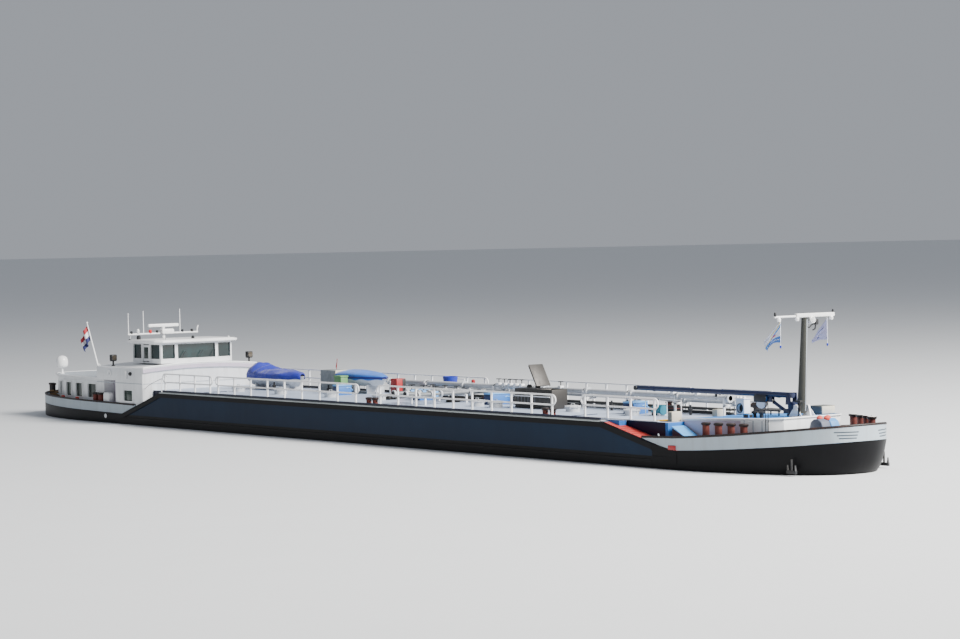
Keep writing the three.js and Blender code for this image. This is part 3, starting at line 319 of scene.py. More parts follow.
    def copies(self, item, places, headings=None, finish=0):
        """Copies of another Shape at places in ship metres, made by Geometry Nodes."""
        item_mesh = bpy.data.meshes.new("item")
        item.mesh.to_mesh(item_mesh)
        item.mesh.free()
        source = bpy.data.objects.new("item", item_mesh)
        bpy.context.scene.collection.objects.link(source)
        points = bpy.data.meshes.new("points")
        points.from_pydata([tuple(p) for p in places], [], [])
        heading = points.attributes.new("heading", "FLOAT", "POINT")
        for i, value in enumerate(headings or [0.0] * len(places)):
            heading.data[i].value = value
        made = run_tree(items_tree(), points, {"Item": source})
        bpy.data.objects.remove(source)
        bpy.data.meshes.remove(item_mesh)
        return self.absorb(made, finish)

    def piece(self, name, slot, body="ship", replaces=(), angle=38):
        """Ends the shape: turns it into an object of the scene that rides on a body."""
        bmesh.ops.transform(self.mesh, matrix=TO_FRAME, verts=self.mesh.verts)
        mesh = bpy.data.meshes.new(name)
        self.mesh.to_mesh(mesh)
        self.mesh.free()
        for material in self.finishes:
            mesh.materials.append(finish(material))
        mesh.set_sharp_from_angle(angle=math.radians(angle))
        return place_in_scene(name, mesh, body, replaces)


def round_edges(mesh, edges, width):
    bmesh.ops.bevel(mesh, geom=edges, offset=width, segments=2, profile=0.5, affect="EDGES",
                    clamp_overlap=True, material=-1)


# Geometry Nodes

def node_tree(name, inputs):
    """An empty geometry tree with named inputs, and its input and output nodes."""
    tree = bpy.data.node_groups.new(name, "GeometryNodeTree")
    for label, kind in (("Geometry", "NodeSocketGeometry"), *inputs):
        tree.interface.new_socket(label, in_out="INPUT", socket_type=kind)
    tree.interface.new_socket("Geometry", in_out="OUTPUT", socket_type="NodeSocketGeometry")
    return tree, tree.nodes.new("NodeGroupInput"), tree.nodes.new("NodeGroupOutput")


def wire(tree, kind, inputs=None, **settings):
    """A new node with its settings, and its inputs linked or set."""
    node = tree.nodes.new(kind)
    for key, value in settings.items():
        setattr(node, key, value)
    for key, value in (inputs or {}).items():
        socket = node.inputs[key]
        if isinstance(value, bpy.types.NodeSocket):
            tree.links.new(value, socket)
        else:
            socket.default_value = value
    return node


@functools.cache
def items_tree():
    """Copies of an item at every point, turned by the point's heading attribute."""
    tree, start, end = node_tree("Items On Points", [("Item", "NodeSocketObject")])
    item = wire(tree, "GeometryNodeObjectInfo", {"Object": start.outputs["Item"], "As Instance": True})
    heading = wire(tree, "GeometryNodeInputNamedAttribute", {"Name": "heading"}, data_type="FLOAT")
    turn = wire(tree, "ShaderNodeCombineXYZ", {"Z": heading.outputs[0]})
    placed = wire(tree, "GeometryNodeInstanceOnPoints", {
        "Points": start.outputs["Geometry"], "Instance": item.outputs["Geometry"],
        "Rotation": turn.outputs["Vector"]})
    real = wire(tree, "GeometryNodeRealizeInstances", {"Geometry": placed.outputs["Instances"]})
    tree.links.new(real.outputs["Geometry"], end.inputs["Geometry"])
    return tree


@functools.cache
def bar_tree():
    """A round bar along every chain of edges."""
    tree, start, end = node_tree("Bar Along Path", [("Radius", "NodeSocketFloat"),
                                                    ("Sides", "NodeSocketInt")])
    line = wire(tree, "GeometryNodeMeshToCurve", {"Mesh": start.outputs["Geometry"]})
    ring = wire(tree, "GeometryNodeCurvePrimitiveCircle", {
        "Resolution": start.outputs["Sides"], "Radius": start.outputs["Radius"]})
    skin = wire(tree, "GeometryNodeCurveToMesh", {
        "Curve": line.outputs["Curve"], "Profile Curve": ring.outputs["Curve"], "Fill Caps": True})
    real = wire(tree, "GeometryNodeRealizeInstances", {"Geometry": skin.outputs["Mesh"]})
    tree.links.new(real.outputs["Geometry"], end.inputs["Geometry"])
    return tree


def run_tree(tree, mesh, values):
    """The plain mesh that a geometry tree makes from a mesh. Values go by the inputs' names."""
    base = bpy.data.objects.new("base", mesh)
    bpy.context.scene.collection.objects.link(base)
    modifier = base.modifiers.new("Tree", "NODES")
    modifier.node_group = tree
    for socket in tree.interface.items_tree:
        if socket.in_out == "INPUT" and socket.name in values:
            modifier[socket.identifier] = values[socket.name]
    graph = bpy.context.evaluated_depsgraph_get()
    made = bpy.data.meshes.new_from_object(base.evaluated_get(graph))
    base.modifiers.remove(modifier)
    bpy.data.objects.remove(base)
    bpy.data.meshes.remove(mesh)
    return made


# Shader groups

def shader_group(name, inputs, outputs):
    tree = bpy.data.node_groups.new(name, "ShaderNodeTree")
    for label, kind in inputs:
        tree.interface.new_socket(label, in_out="INPUT", socket_type=kind)
    for label, kind in outputs:
        tree.interface.new_socket(label, in_out="OUTPUT", socket_type=kind)
    return tree, tree.nodes.new("NodeGroupInput"), tree.nodes.new("NodeGroupOutput")


FLOAT, COLOUR, VECTOR = "NodeSocketFloat", "NodeSocketColor", "NodeSocketVector"


def calc(tree, operation, a, b=0.0, c=0.0):
    """Result of a math node with up to three values."""
    return wire(tree, "ShaderNodeMath", {0: a, 1: b, 2: c}, operation=operation).outputs[0]


def spread(tree, value, low, high, to_low=0.0, to_high=1.0):
    """A value whose range from low to high becomes another range, cut off at its ends."""
    return wire(tree, "ShaderNodeMapRange", {0: value, 1: low, 2: high, 3: to_low, 4: to_high}).outputs[0]


def noise_field(tree, vector, scale, **inputs):
    """Factor of a noise texture."""
    return wire(tree, "ShaderNodeTexNoise", {"Vector": vector, "Scale": scale, **inputs}).outputs["Fac"]


def blend_colours(tree, share, first, second):
    node = wire(tree, "ShaderNodeMix", {0: share, 6: first, 7: second}, data_type="RGBA")
    return node.outputs[2]


@functools.cache
def place_group():
    """Place on the ship in real metres, from the object's own coordinates."""
    tree, _, end = shader_group("Ship Place", [], [
        ("Place", VECTOR), ("X", FLOAT), ("Y", FLOAT), ("Height", FLOAT)])
    coordinate = tree.nodes.new("ShaderNodeTexCoord")
    grown = wire(tree, "ShaderNodeVectorMath", {0: coordinate.outputs["Object"], 1: (1 / SCALE,) * 3},
                 operation="MULTIPLY")
    moved = wire(tree, "ShaderNodeVectorMath", {0: grown.outputs[0], 1: (0, 0, -DRAUGHT)}, operation="ADD")
    parts = wire(tree, "ShaderNodeSeparateXYZ", {0: moved.outputs[0]})
    tree.links.new(moved.outputs[0], end.inputs["Place"])
    for label, axis in (("X", "X"), ("Y", "Y"), ("Height", "Z")):
        tree.links.new(parts.outputs[axis], end.inputs[label])
    return tree


def ship_place(tree):
    """Outputs Place, X, Y and Height of a new place group in a material."""
    return wire(tree, "ShaderNodeGroup", node_tree=place_group()).outputs


@functools.cache
def weather_group():
    """Dirt in patches and downward streaks over a colour, with slow changes of tone."""
    tree, start, end = shader_group(
        "Weathering", [("Base", COLOUR), ("Dirt", COLOUR), ("Amount", FLOAT), ("Scale", FLOAT)],
        [("Color", COLOUR), ("Wear", FLOAT)])
    place, scale = ship_place(tree)["Place"], start.outputs["Scale"]
    patches = spread(tree, noise_field(tree, place, scale, Detail=6.0, Roughness=0.62), 0.48, 0.78, 0.0,
                     0.8)
    drawn = wire(tree, "ShaderNodeVectorMath", {0: place, 1: (4.0, 4.0, 0.45)}, operation="MULTIPLY")
    streaks = spread(tree, noise_field(tree, drawn.outputs[0], scale, Detail=4.0, Roughness=0.55), 0.52,
                     0.8)
    mask = calc(tree, "MULTIPLY", calc(tree, "MAXIMUM", patches, streaks), start.outputs["Amount"])
    level = spread(tree, noise_field(tree, place, 0.35, Detail=3.0), 0.3, 0.7, 0.9, 1.06)
    toned = wire(tree, "ShaderNodeVectorMath", {0: start.outputs["Base"], "Scale": level},
                 operation="SCALE")
    tree.links.new(blend_colours(tree, mask, toned.outputs[0], start.outputs["Dirt"]), end.inputs["Color"])
    tree.links.new(mask, end.inputs["Wear"])
    return tree


@functools.cache
def ripple_group():
    """Height of thin plating between its frames, with a fine grain of brushed paint."""
    tree, start, end = shader_group(
        "Plate Ripple", [("Ripple", FLOAT), ("Grain", FLOAT)], [("Height", FLOAT)])
    place = ship_place(tree)["Place"]
    big = calc(tree, "MULTIPLY", noise_field(tree, place, 0.9, Detail=1.0), start.outputs["Ripple"])
    small = calc(tree, "MULTIPLY", noise_field(tree, place, 28.0, Detail=4.0), start.outputs["Grain"])
    tree.links.new(calc(tree, "ADD", big, small), end.inputs["Height"])
    return tree


@functools.cache
def weave_group():
    """Height of a plain weave from the piece's own UV map, with soft creases."""
    tree, start, end = shader_group(
        "Cloth Weave", [("Threads", FLOAT), ("Creases", FLOAT)], [("Height", FLOAT)])
    uv = wire(tree, "ShaderNodeUVMap", uv_map="cloth").outputs["UV"]
    across, along = (
        wire(tree, "ShaderNodeTexWave", {"Vector": uv, "Scale": start.outputs["Threads"]},
             bands_direction=direction).outputs["Fac"] for direction in ("X", "Y"))
    thread = calc(tree, "MULTIPLY", calc(tree, "MULTIPLY", across, along), 0.1)
    crease = noise_field(tree, uv, 7.0, Detail=5.0, Distortion=1.2)
    folds = calc(tree, "MULTIPLY", crease, start.outputs["Creases"])
    tree.links.new(calc(tree, "ADD", thread, folds), end.inputs["Height"])
    return tree


# Finishes

DIRT = srgb(96, 88, 80)
RUST = srgb(120, 66, 44)
SOOT = srgb(30, 30, 32)

# name: (colour, roughness, metallic, dirt colour, dirt amount, dirt scale, ripple)
PAINTS = {
    "house_white": (srgb(238, 240, 242), 0.34, 0.0, DIRT, 0.22, 0.8, 0.35),
    "roof_grey": (srgb(176, 184, 192), 0.55, 0.0, DIRT, 0.3, 0.9, 0.2),
    "trim_white": (srgb(246, 247, 248), 0.32, 0.0, DIRT, 0.15, 2.0, 0.0),
    "rail_white": (srgb(244, 245, 247), 0.38, 0.0, RUST, 0.12, 3.0, 0.0),
    "pipe_grey": (srgb(196, 199, 203), 0.42, 0.0, DIRT, 0.25, 1.6, 0.0),
    "fitting_dark": (srgb(34, 36, 40), 0.5, 0.1, DIRT, 0.35, 3.0, 0.0),
    "bollard_brown": (srgb(104, 44, 36), 0.62, 0.1, SOOT, 0.6, 3.2, 0.0),
    "bollard_black": (srgb(24, 22, 24), 0.5, 0.2, RUST, 0.35, 3.0, 0.0),
    "red_paint": (srgb(176, 40, 44), 0.45, 0.0, SOOT, 0.3, 2.0, 0.0),
    "rope_red": (srgb(214, 84, 70), 0.85, 0.0, SOOT, 0.3, 6.0, 0.0),
    "box_front": (srgb(74, 132, 196), 0.42, 0.0, DIRT, 0.25, 2.0, 0.2),
    "box_light": (srgb(104, 164, 222), 0.4, 0.0, DIRT, 0.2, 2.0, 0.2),
    "bulkhead_blue": (srgb(56, 116, 190), 0.45, 0.0, DIRT, 0.2, 2.0, 0.2),
    "roof_blue": (srgb(64, 136, 208), 0.75, 0.0, DIRT, 0.12, 1.2, 0.1),
    # painted shade: navy for the shaded sides of the blue deck boxes
    "box_navy": (srgb(16, 44, 92), 0.5, 0.0, DIRT, 0.15, 2.0, 0.2),
    "bright_blue": (srgb(96, 178, 244), 0.4, 0.0, DIRT, 0.15, 1.5, 0.2),
    "trunk_navy": (srgb(16, 22, 48), 0.5, 0.0, DIRT, 0.12, 1.2, 0.2),
    "tub_blue": (srgb(28, 52, 170), 0.5, 0.0, DIRT, 0.2, 2.0, 0.0),
    "crate_grey": (srgb(146, 152, 154), 0.75, 0.0, SOOT, 0.5, 3.0, 0.4),
    "steel_dark": (srgb(74, 72, 70), 0.48, 0.55, SOOT, 0.4, 1.6, 0.3),
    "steel_bright": (srgb(178, 180, 182), 0.3, 0.85, SOOT, 0.25, 2.0, 0.0),
    "beige": (srgb(206, 200, 182), 0.5, 0.0, DIRT, 0.3, 2.0, 0.2),
    # painted shade: dark grey for the shaded sides of pale boxes
    "box_shade": (srgb(98, 102, 100), 0.5, 0.0, SOOT, 0.3, 2.0, 0.2),
    "bin_green": (srgb(98, 148, 92), 0.5, 0.0, DIRT, 0.25, 2.0, 0.0),
    "mat_yellow": (srgb(236, 178, 40), 0.8, 0.0, DIRT, 0.25, 3.0, 0.0),
    "drum_teal": (srgb(40, 120, 140), 0.45, 0.0, SOOT, 0.35, 2.0, 0.0),
    "mast_olive": (srgb(56, 57, 52), 0.5, 0.1, SOOT, 0.35, 1.2, 0.0),
    "boom_navy": (srgb(18, 32, 70), 0.34, 0.0, SOOT, 0.2, 1.0, 0.0),
    "hood_grey": (srgb(92, 100, 118), 0.6, 0.0, DIRT, 0.25, 2.0, 0.0),
    "hood_blue": (srgb(78, 146, 208), 0.55, 0.0, DIRT, 0.2, 2.0, 0.0),
    "rope_brown": (srgb(120, 96, 66), 0.9, 0.0, SOOT, 0.4, 6.0, 0.0),
    "rubber": (srgb(22, 22, 24), 0.75, 0.0, DIRT, 0.3, 3.0, 0.0),
    "lamp_red": (srgb(206, 40, 44), 0.2, 0.0, SOOT, 0.1, 3.0, 0.0),
    "dome_white": (srgb(244, 245, 246), 0.22, 0.0, DIRT, 0.1, 1.5, 0.0),
    "boat_hull": (srgb(224, 226, 228), 0.3, 0.0, DIRT, 0.3, 1.5, 0.0),
    "gunwale": (srgb(24, 28, 110), 0.4, 0.0, DIRT, 0.2, 2.0, 0.0),
    "bronze": (srgb(170, 130, 70), 0.35, 0.9, srgb(60, 90, 70), 0.5, 2.0, 0.0),
    # painted shade: the lilac of white walls in shade, for recesses, under the roof's front edge and on the
    # foredeck house sides
    "cabin_panel": (srgb(196, 186, 204), 0.5, 0.0, DIRT, 0.15, 1.0, 0.0),
    "louvre": (srgb(120, 124, 128), 0.5, 0.3, SOOT, 0.4, 3.0, 0.0),
    "deck_plate": (srgb(96, 108, 124), 0.7, 0.0, RUST, 0.35, 1.6, 0.2),
}
GLASS = {
    # name: (colour, share of light let through, roughness)
    "wheel_glass": (srgb(14, 38, 40), 0.3, 0.04),
    # nearly opaque and dark: the shade inside behind the panes is painted into the glass
    "cabin_glass": (srgb(26, 40, 34), 0.1, 0.08),
    "lamp_glass": (srgb(235, 238, 240), 0.5, 0.05),
    "lens_dark": (srgb(74, 68, 60), 0.2, 0.08),
}
CLOTHS = {
    # name: (colour, threads over the piece, crease height)
    "cover_ultramarine": (srgb(14, 36, 168), 160.0, 1.0),
    "cover_azure": (srgb(36, 118, 220), 160.0, 0.35),
}


class HullPaint(bpy.types.PropertyGroup):
    navy: bpy.props.FloatVectorProperty(
        name="Side", description="Wide band between belting and boot top", subtype="COLOR",
        default=srgb(17, 36, 58), min=0, max=1)
    black: bpy.props.FloatVectorProperty(
        name="Beltings", description="Beltings, ends and boot top", subtype="COLOR",
        default=srgb(12, 12, 15), min=0, max=1)
    deck: bpy.props.FloatVectorProperty(
        name="Deck", description="Raised deck", subtype="COLOR", default=srgb(176, 188, 208), min=0, max=1)
    edge: bpy.props.FloatVectorProperty(
        name="Deck edge", description="Pale line along the deck edge", subtype="COLOR",
        default=srgb(176, 182, 182), min=0, max=1)
    bulwark: bpy.props.FloatVectorProperty(
        name="Bulwark", description="Bulwark plating", subtype="COLOR",
        default=srgb(168, 181, 190), min=0, max=1)
    band_low: bpy.props.FloatProperty(
        name="Band foot", description="Lower edge of the wide band", default=0.58, unit="LENGTH")


class RailSizes(bpy.types.PropertyGroup):
    height: bpy.props.FloatProperty(
        name="Height", description="Top bar over the deck", default=1.08, unit="LENGTH")
    post: bpy.props.FloatProperty(
        name="Post radius", description="Radius of a post", default=0.058, unit="LENGTH")
    bar: bpy.props.FloatProperty(
        name="Bar radius", description="Radius of the bars", default=0.042, unit="LENGTH")
    bay: bpy.props.FloatProperty(
        name="Bay", description="Distance between posts", default=1.72, unit="LENGTH")


class StageLight(bpy.types.PropertyGroup):
    floor: bpy.props.FloatVectorProperty(
        name="Floor", description="Colour of the floor", subtype="COLOR",
        default=(0.72, 0.74, 0.76), min=0, max=1)
    key: bpy.props.FloatProperty(
        name="Key", description="Power of the key light", default=7600.0, unit="POWER")
    fill: bpy.props.FloatProperty(
        name="Fill", description="Strength of the surrounding light", default=0.42)
    lens: bpy.props.FloatProperty(
        name="Lens", description="Focal length", default=105.0, unit="CAMERA")


def start_material(name):
    material = bpy.data.materials.new(name)
    material.use_nodes = True
    return material, material.node_tree, material.node_tree.nodes["Principled BSDF"]


def add_bump(tree, shader, height, strength):
    bump = wire(tree, "ShaderNodeBump", {"Height": height, "Strength": strength, "Distance": 0.004})
    tree.links.new(bump.outputs["Normal"], shader.inputs["Normal"])


def cloudy(tree, shader, share, first, second):
    """Base colour that drifts between two colours."""
    mixed = blend_colours(tree, share, (*first, 1), (*second, 1))
    tree.links.new(mixed, shader.inputs["Base Color"])


def weathered(tree, shader, base, dirt, amount, scale, roughness, ripple):
    """Leads a base colour through the weathering and plating groups to the shader."""
    weather = wire(tree, "ShaderNodeGroup", {
        "Base": base, "Dirt": (*dirt, 1), "Amount": amount, "Scale": scale}, node_tree=weather_group())
    tree.links.new(weather.outputs["Color"], shader.inputs["Base Color"])
    rough = calc(tree, "MULTIPLY_ADD", weather.outputs["Wear"], 0.35, roughness)
    tree.links.new(rough, shader.inputs["Roughness"])
    plate = wire(tree, "ShaderNodeGroup", {"Ripple": ripple, "Grain": 0.02}, node_tree=ripple_group())
    add_bump(tree, shader, plate.outputs["Height"], 0.35)


def between(tree, value, low, high):
    above = calc(tree, "GREATER_THAN", value, low)
    below = calc(tree, "LESS_THAN", value, high)
    return calc(tree, "MULTIPLY", above, below)


def paint_finish(name):
    colour, roughness, metallic, dirt, amount, scale, ripple = PAINTS[name]
    material, tree, shader = start_material(name)
    shader.inputs["Metallic"].default_value = metallic
    weathered(tree, shader, (*colour, 1), dirt, amount, scale, roughness, ripple)
    return material


def glass_finish(name):
    colour, through_share, roughness = GLASS[name]
    material, tree, shader = start_material(name)
    cloud = noise_field(tree, ship_place(tree)["Place"], 0.9, Detail=2.0)
    bright = tuple(min(1.0, c * 1.9) for c in colour)
    cloudy(tree, shader, spread(tree, cloud, 0.42, 0.62), colour, bright)
    shader.inputs["Roughness"].default_value = roughness
    shader.inputs["Transmission Weight"].default_value = through_share
    shader.inputs["IOR"].default_value = 1.45
    return material


def cloth_finish(name):
    colour, threads, creases = CLOTHS[name]
    material, tree, shader = start_material(name)
    fade = noise_field(tree, ship_place(tree)["Place"], 1.4, Detail=4.0)
    deep = tuple(c * 0.72 for c in colour)
    cloudy(tree, shader, spread(tree, fade, 0.35, 0.7), deep, colour)
    cloth_surface(tree, shader, threads, creases)
    return material


def cloth_surface(tree, shader, threads, creases):
    shader.inputs["Roughness"].default_value = 0.62
    shader.inputs["Sheen Weight"].default_value = 0.25
    weave = wire(tree, "ShaderNodeGroup", {"Threads": threads, "Creases": creases}, node_tree=weave_group())
    add_bump(tree, shader, weave.outputs["Height"], 0.5)


ANY = 2.0
# field colour, then bands from first to last. A band is (colour, limits): U runs along the fly, V up the
# hoist, slant rises with both, and wave swings along the fly.
FLAGS = {
    "ensign_cloth": (srgb(236, 236, 240), [
        (srgb(170, 30, 44), {"v": (0.667, ANY)}), (srgb(22, 30, 96), {"v": (-ANY, 0.333)})]),
    "pennant_cloth": (srgb(214, 220, 240), [
        (srgb(40, 104, 190), {"v": (-ANY, 0.3)}),
        (srgb(214, 222, 240), {"v": (0.12, 0.18), "wave": (0.2, ANY)}),
        (srgb(226, 206, 70), {"slant": (0.92, 1.0)}), (srgb(60, 130, 205), {"slant": (0.72, 0.86)}),
        (srgb(200, 50, 60), {"v": (0.4, 0.52), "u": (0.3, 0.5)})]),
    "lilac_cloth": (srgb(196, 196, 236), [
        (srgb(60, 60, 120), {"v": (0.66, 0.72), "u": (0.25, 0.7)}),
        (srgb(70, 70, 140), {"v": (0.2, 0.3), "u": (0.55, 0.68)})]),
}


def flag_finish(name):
    """Cloth whose colour follows its UV map."""
    field, bands = FLAGS[name]
    material, tree, shader = start_material(name)
    uv = wire(tree, "ShaderNodeUVMap", uv_map="cloth").outputs["UV"]
    u, v, _ = wire(tree, "ShaderNodeSeparateXYZ", {0: uv}).outputs
    values = {
        "u": u, "v": v, "slant": calc(tree, "MULTIPLY_ADD", u, 0.6, v),
        "wave": calc(tree, "SINE", calc(tree, "MULTIPLY", u, 60.0))}
    colour = wire(tree, "ShaderNodeRGB").outputs[0]
    colour.default_value = (*field, 1)
    for band, limits in bands:
        mask = 1.0
        for key, (low, high) in limits.items():
            mask = calc(tree, "MULTIPLY", between(tree, values[key], low, high), mask)
        colour = blend_colours(tree, mask, colour, (*band, 1))
    tree.links.new(colour, shader.inputs["Base Color"])
    cloth_surface(tree, shader, 120.0, 0.2)
    return material


def masked(tree, colour, mask, over):
    """A colour with a plain colour laid over it where the mask is 1."""
    return blend_colours(tree, mask, colour, (*over, 1))


def hull_finish(name):
    """Bands of the hull sides by height, and deck colours on what faces up."""
    settings = bpy.context.scene.tanker_hull
    material, tree, shader = start_material(name)
    place = ship_place(tree)
    x, height = place["X"], place["Height"]
    away = calc(tree, "ABSOLUTE", place["Y"])
    normal = wire(tree, "ShaderNodeSeparateXYZ", {
        0: wire(tree, "ShaderNodeNewGeometry").outputs["True Normal"]}).outputs["Z"]
    facing_up = calc(tree, "MULTIPLY", calc(tree, "GREATER_THAN", normal, 0.6),
                     calc(tree, "GREATER_THAN", height, AFT_DECK[0] - 0.02))
    trunk, front, plate = (PAINTS[key][0] for key in ("trunk_navy", "bulkhead_blue", "deck_plate"))
    side = (*settings.black, 1)
    if name == "hull_side":
        side = masked(tree, side, between(tree, height, settings.band_low, BAND_TOP), settings.navy)
        side = masked(tree, side, calc(tree, "GREATER_THAN", away, HALF_BEAM + 0.012), settings.black)
        side = masked(tree, side, calc(tree, "GREATER_THAN", height, DECK - 0.07), settings.edge)
        side = masked(tree, side, calc(tree, "LESS_THAN", away, TRUNK_HALF + 0.02), trunk)
        step = calc(tree, "MULTIPLY", between(tree, x, FORE_BREAK_TOP - 0.5, FORE_BREAK_TOP + 1.1),
                    between(tree, away, TRUNK_HALF + 0.05, 3.76))
        side = masked(tree, side, step, front)
    else:
        wall = calc(tree, "MULTIPLY", between(tree, away, 2.2, TRUNK_HALF + 0.05),
                    between(tree, x, FORE_JOINT - 0.1, FORE_JOINT + 0.3))
        wall = calc(tree, "MULTIPLY", wall, calc(tree, "GREATER_THAN", height, 0.9))
        side = masked(tree, side, wall, front)
    top = masked(tree, (*settings.deck, 1), between(tree, away, 3.45, EDGE_LINE), trunk)
    top = masked(tree, top, calc(tree, "GREATER_THAN", away, EDGE_LINE), settings.edge)
    sloped = calc(tree, "LESS_THAN", height, DECK - 0.03)
    red = calc(tree, "MULTIPLY", sloped, between(tree, x, FORE_BREAK_TOP + 0.3, FORE_BREAK_FOOT + 0.4))
    top = masked(tree, masked(tree, top, sloped, plate), red, RAMP_RED)
    belting = calc(tree, "MULTIPLY", sloped, calc(tree, "GREATER_THAN", away, HALF_BEAM - 0.02))
    top = masked(tree, top, belting, settings.black)
    base = blend_colours(tree, facing_up, side, top)
    weathered(tree, shader, base, HULL_DIRT, 0.14, 0.6, 0.42, 0.6)
    shader.inputs["Specular IOR Level"].default_value = 0.12
    return material


BAND_TOP = 1.76
EDGE_LINE = 3.78
RAMP_RED = srgb(186, 72, 66)
HULL_DIRT = srgb(30, 32, 36)
PLATE_DIRT = srgb(120, 110, 100)
STRIPE_COLOUR = srgb(58, 70, 82)
STRIPE_HALF = 0.028
STRIPES = [
    # nearest and furthest from the centre line, height
    (0.6, 1.62, 1.93),
    (0.65, 1.52, 1.79),
    (0.7, 1.45, 1.66),
]


def bulwark_finish(name):
    """Pale plating with three short dark stripes near the stem."""
    material, tree, shader = start_material(name)
    place = ship_place(tree)
    away = calc(tree, "ABSOLUTE", place["Y"])
    colour = (*bpy.context.scene.tanker_hull.bulwark, 1)
    if name == "bow_plating":
        for near, far, level in STRIPES:
            mask = calc(tree, "MULTIPLY", between(tree, away, near, far),
                        between(tree, place["Height"], level - STRIPE_HALF, level + STRIPE_HALF))
            colour = masked(tree, colour, mask, STRIPE_COLOUR)
    weathered(tree, shader, colour, PLATE_DIRT, 0.25, 0.9, 0.42, 0.7)
    return material


@functools.cache
def finish(name):
    """The material of that name, built once."""
    for table, build in ((PAINTS, paint_finish), (GLASS, glass_finish), (CLOTHS, cloth_finish),
                         (FLAGS, flag_finish), (("hull_side", "hull_end"), hull_finish)):
        if name in table:
            return build(name)
    return bulwark_finish(name)


# Hull

def build_hull():
    dress("hull_midbody", "hull_side")
    build_bow_hull()
    build_stern_hull()
    build_screw()
    details = Shape("trim_white", "red_paint")
    details.turned([(0, 0), (0.13, 0), (0.13, 0.03), (0, 0.035)], (-24.6, -HALF_BEAM, 0.42), (0, -1, 0), 18)
    for _, side in SIDES:
        details.stand(28.6, side * 4.09, 0.25, 0.03, 0.92, 1.12, finish=1, bevel=0.01)
    details.piece("hull_marks", "house_white")
    slat = Shape().stand(0, 0, 0.02, 0.36, 0, 0.025, bevel=0.008)
    treads = Shape("red_paint")
    treads.copies(slat, [(x, side * 3.68, fore_ramp(x)) for _, side in SIDES
                         for x in [FORE_BREAK_TOP + 1.2 + 0.28 * i for i in range(9)]])
    treads.piece("slope_treads", "hull_blue")


def build_bow_hull():
    tip = HALF_LENGTH - FORE_JOINT
    table = [
        # share of the run, half breadth, fullness, height
        (0.62, HALF_BEAM - 0.45, 0.9, KEEL), (0.7, HALF_BEAM - 0.12, 0.9, KEEL + 0.3),
        (0.82, HALF_BEAM, 0.88, KEEL + 0.9), (0.955, HALF_BEAM, 0.86, 0.2), (1.0, HALF_BEAM, 0.84, None),
    ]
    levels = []
    for share, half, fullness, z in table:
        ring = end_curve(FORE_JOINT, tip * share, half, fullness)
        levels.append([(x, y, fore_sheer(x) if z is None else z) for x, y in ring])
    bow = Shape("hull_end")
    bow.loft(through(levels, 4), paired=True)
    ramp, inside = fore_ramp(FORE_JOINT), HALF_BEAM - 0.12
    for _, side in SIDES:
        bow.prism([(FORE_JOINT, 0.5), (FORE_BREAK_FOOT, 0.5), (FORE_BREAK_FOOT, FORE_DECK[0] + 0.004),
                   (FORE_JOINT, ramp)], "XZ", side * TRUNK_HALF, side * (HALF_BEAM - 0.03))
        bow.box(FORE_JOINT, 27.4, side * 2.255, side * 3.27, 0.5, DECK, bevel=0.015)
        for low, high, drop in ((0.28, 0.58, 0.0), (ramp - 0.36, ramp - 0.02, 0.3)):
            bow.loft([[(x, side * away, z - fall) for away, z in (
                (inside, low), (HALF_BEAM + proud, low), (HALF_BEAM + proud, high), (inside, high))]
                for x, proud, fall in ((FORE_JOINT, 0.048, 0.0), (28.9, -0.04, drop))])
    bow.piece("bow_shell", "hull_black", replaces=["hull_forebody"], angle=32)


def stern_outline(start, inset=0.0, steps=40):
    straight = -(HALF_LENGTH - inset - STERN_RUN)
    curve = end_curve(straight, -STERN_RUN, HALF_BEAM - inset, 0.9, steps)
    return [(start, -HALF_BEAM + inset)] + curve + [(start, HALF_BEAM - inset)]


def build_stern_hull():
    stern = Shape("hull_end")
    levels = []
    for inset, z in ((0.16, COUNTER), (0.05, COUNTER + 0.05), (0.0, COUNTER + 0.2), (0.0, 0.3), (0.0, None)):
        outline = stern_outline(AFT_JOINT, inset)
        levels.append([(x, y, aft_sheer(x) if z is None else z) for x, y in outline])
    stern.loft(levels, paired=True)
    full = HALF_LENGTH + AFT_JOINT
    table = [
        (0.40, HALF_BEAM - 0.45, 0.8, KEEL), (0.44, HALF_BEAM - 0.12, 0.8, KEEL + 0.3),
        (0.54, HALF_BEAM, 0.75, KEEL + 0.95), (0.72, HALF_BEAM, 0.6, COUNTER + 0.05),
    ]
    levels = []
    for share, half, fullness, z in table:
        levels.append([(x, y, z) for x, y in end_curve(AFT_JOINT, -full * share, half, fullness)])
    stern.loft(through(levels, 4), paired=True)
    skeg = [(-32.0, KEEL + 0.05), (-27.5, KEEL + 0.05), (-27.5, COUNTER + 0.05), (-32.0, COUNTER + 0.05)]
    stern.prism(skeg, "XZ", -0.16, 0.16, bevel=0.06)
    stern.turned([(0, 0), (0.2, 0), (0.24, 0.15), (0.3, 1.6), (0.3, 4.0), (0, 4.0)],
                 (-32.02, 0, SHAFT_HEIGHT), (1, 0, 0), 24)
    inner = 0.74
    foil = [(inner, -0.42), (inner - 0.01, -0.1), (inner + 0.02, 0.34), (inner + 0.06, 0.42),
            (inner + 0.1, 0.38), (inner + 0.1, 0.0), (inner + 0.06, -0.42)]
    rings = []
    for a, b in [*circle(1.0, 40), (1.0, 0.0)]:
        rings.append([(PROPELLER_X + h, r * a, SHAFT_HEIGHT + r * b) for r, h in foil])
    stern.loft(rings, closed=False)
    stern.box(PROPELLER_X - 0.3, PROPELLER_X + 0.3, -0.1, 0.1, SHAFT_HEIGHT + inner + 0.04, 0.05,
              bevel=0.03)
    stern.piece("stern_shell", "hull_black", replaces=["hull_afterbody"], angle=32)


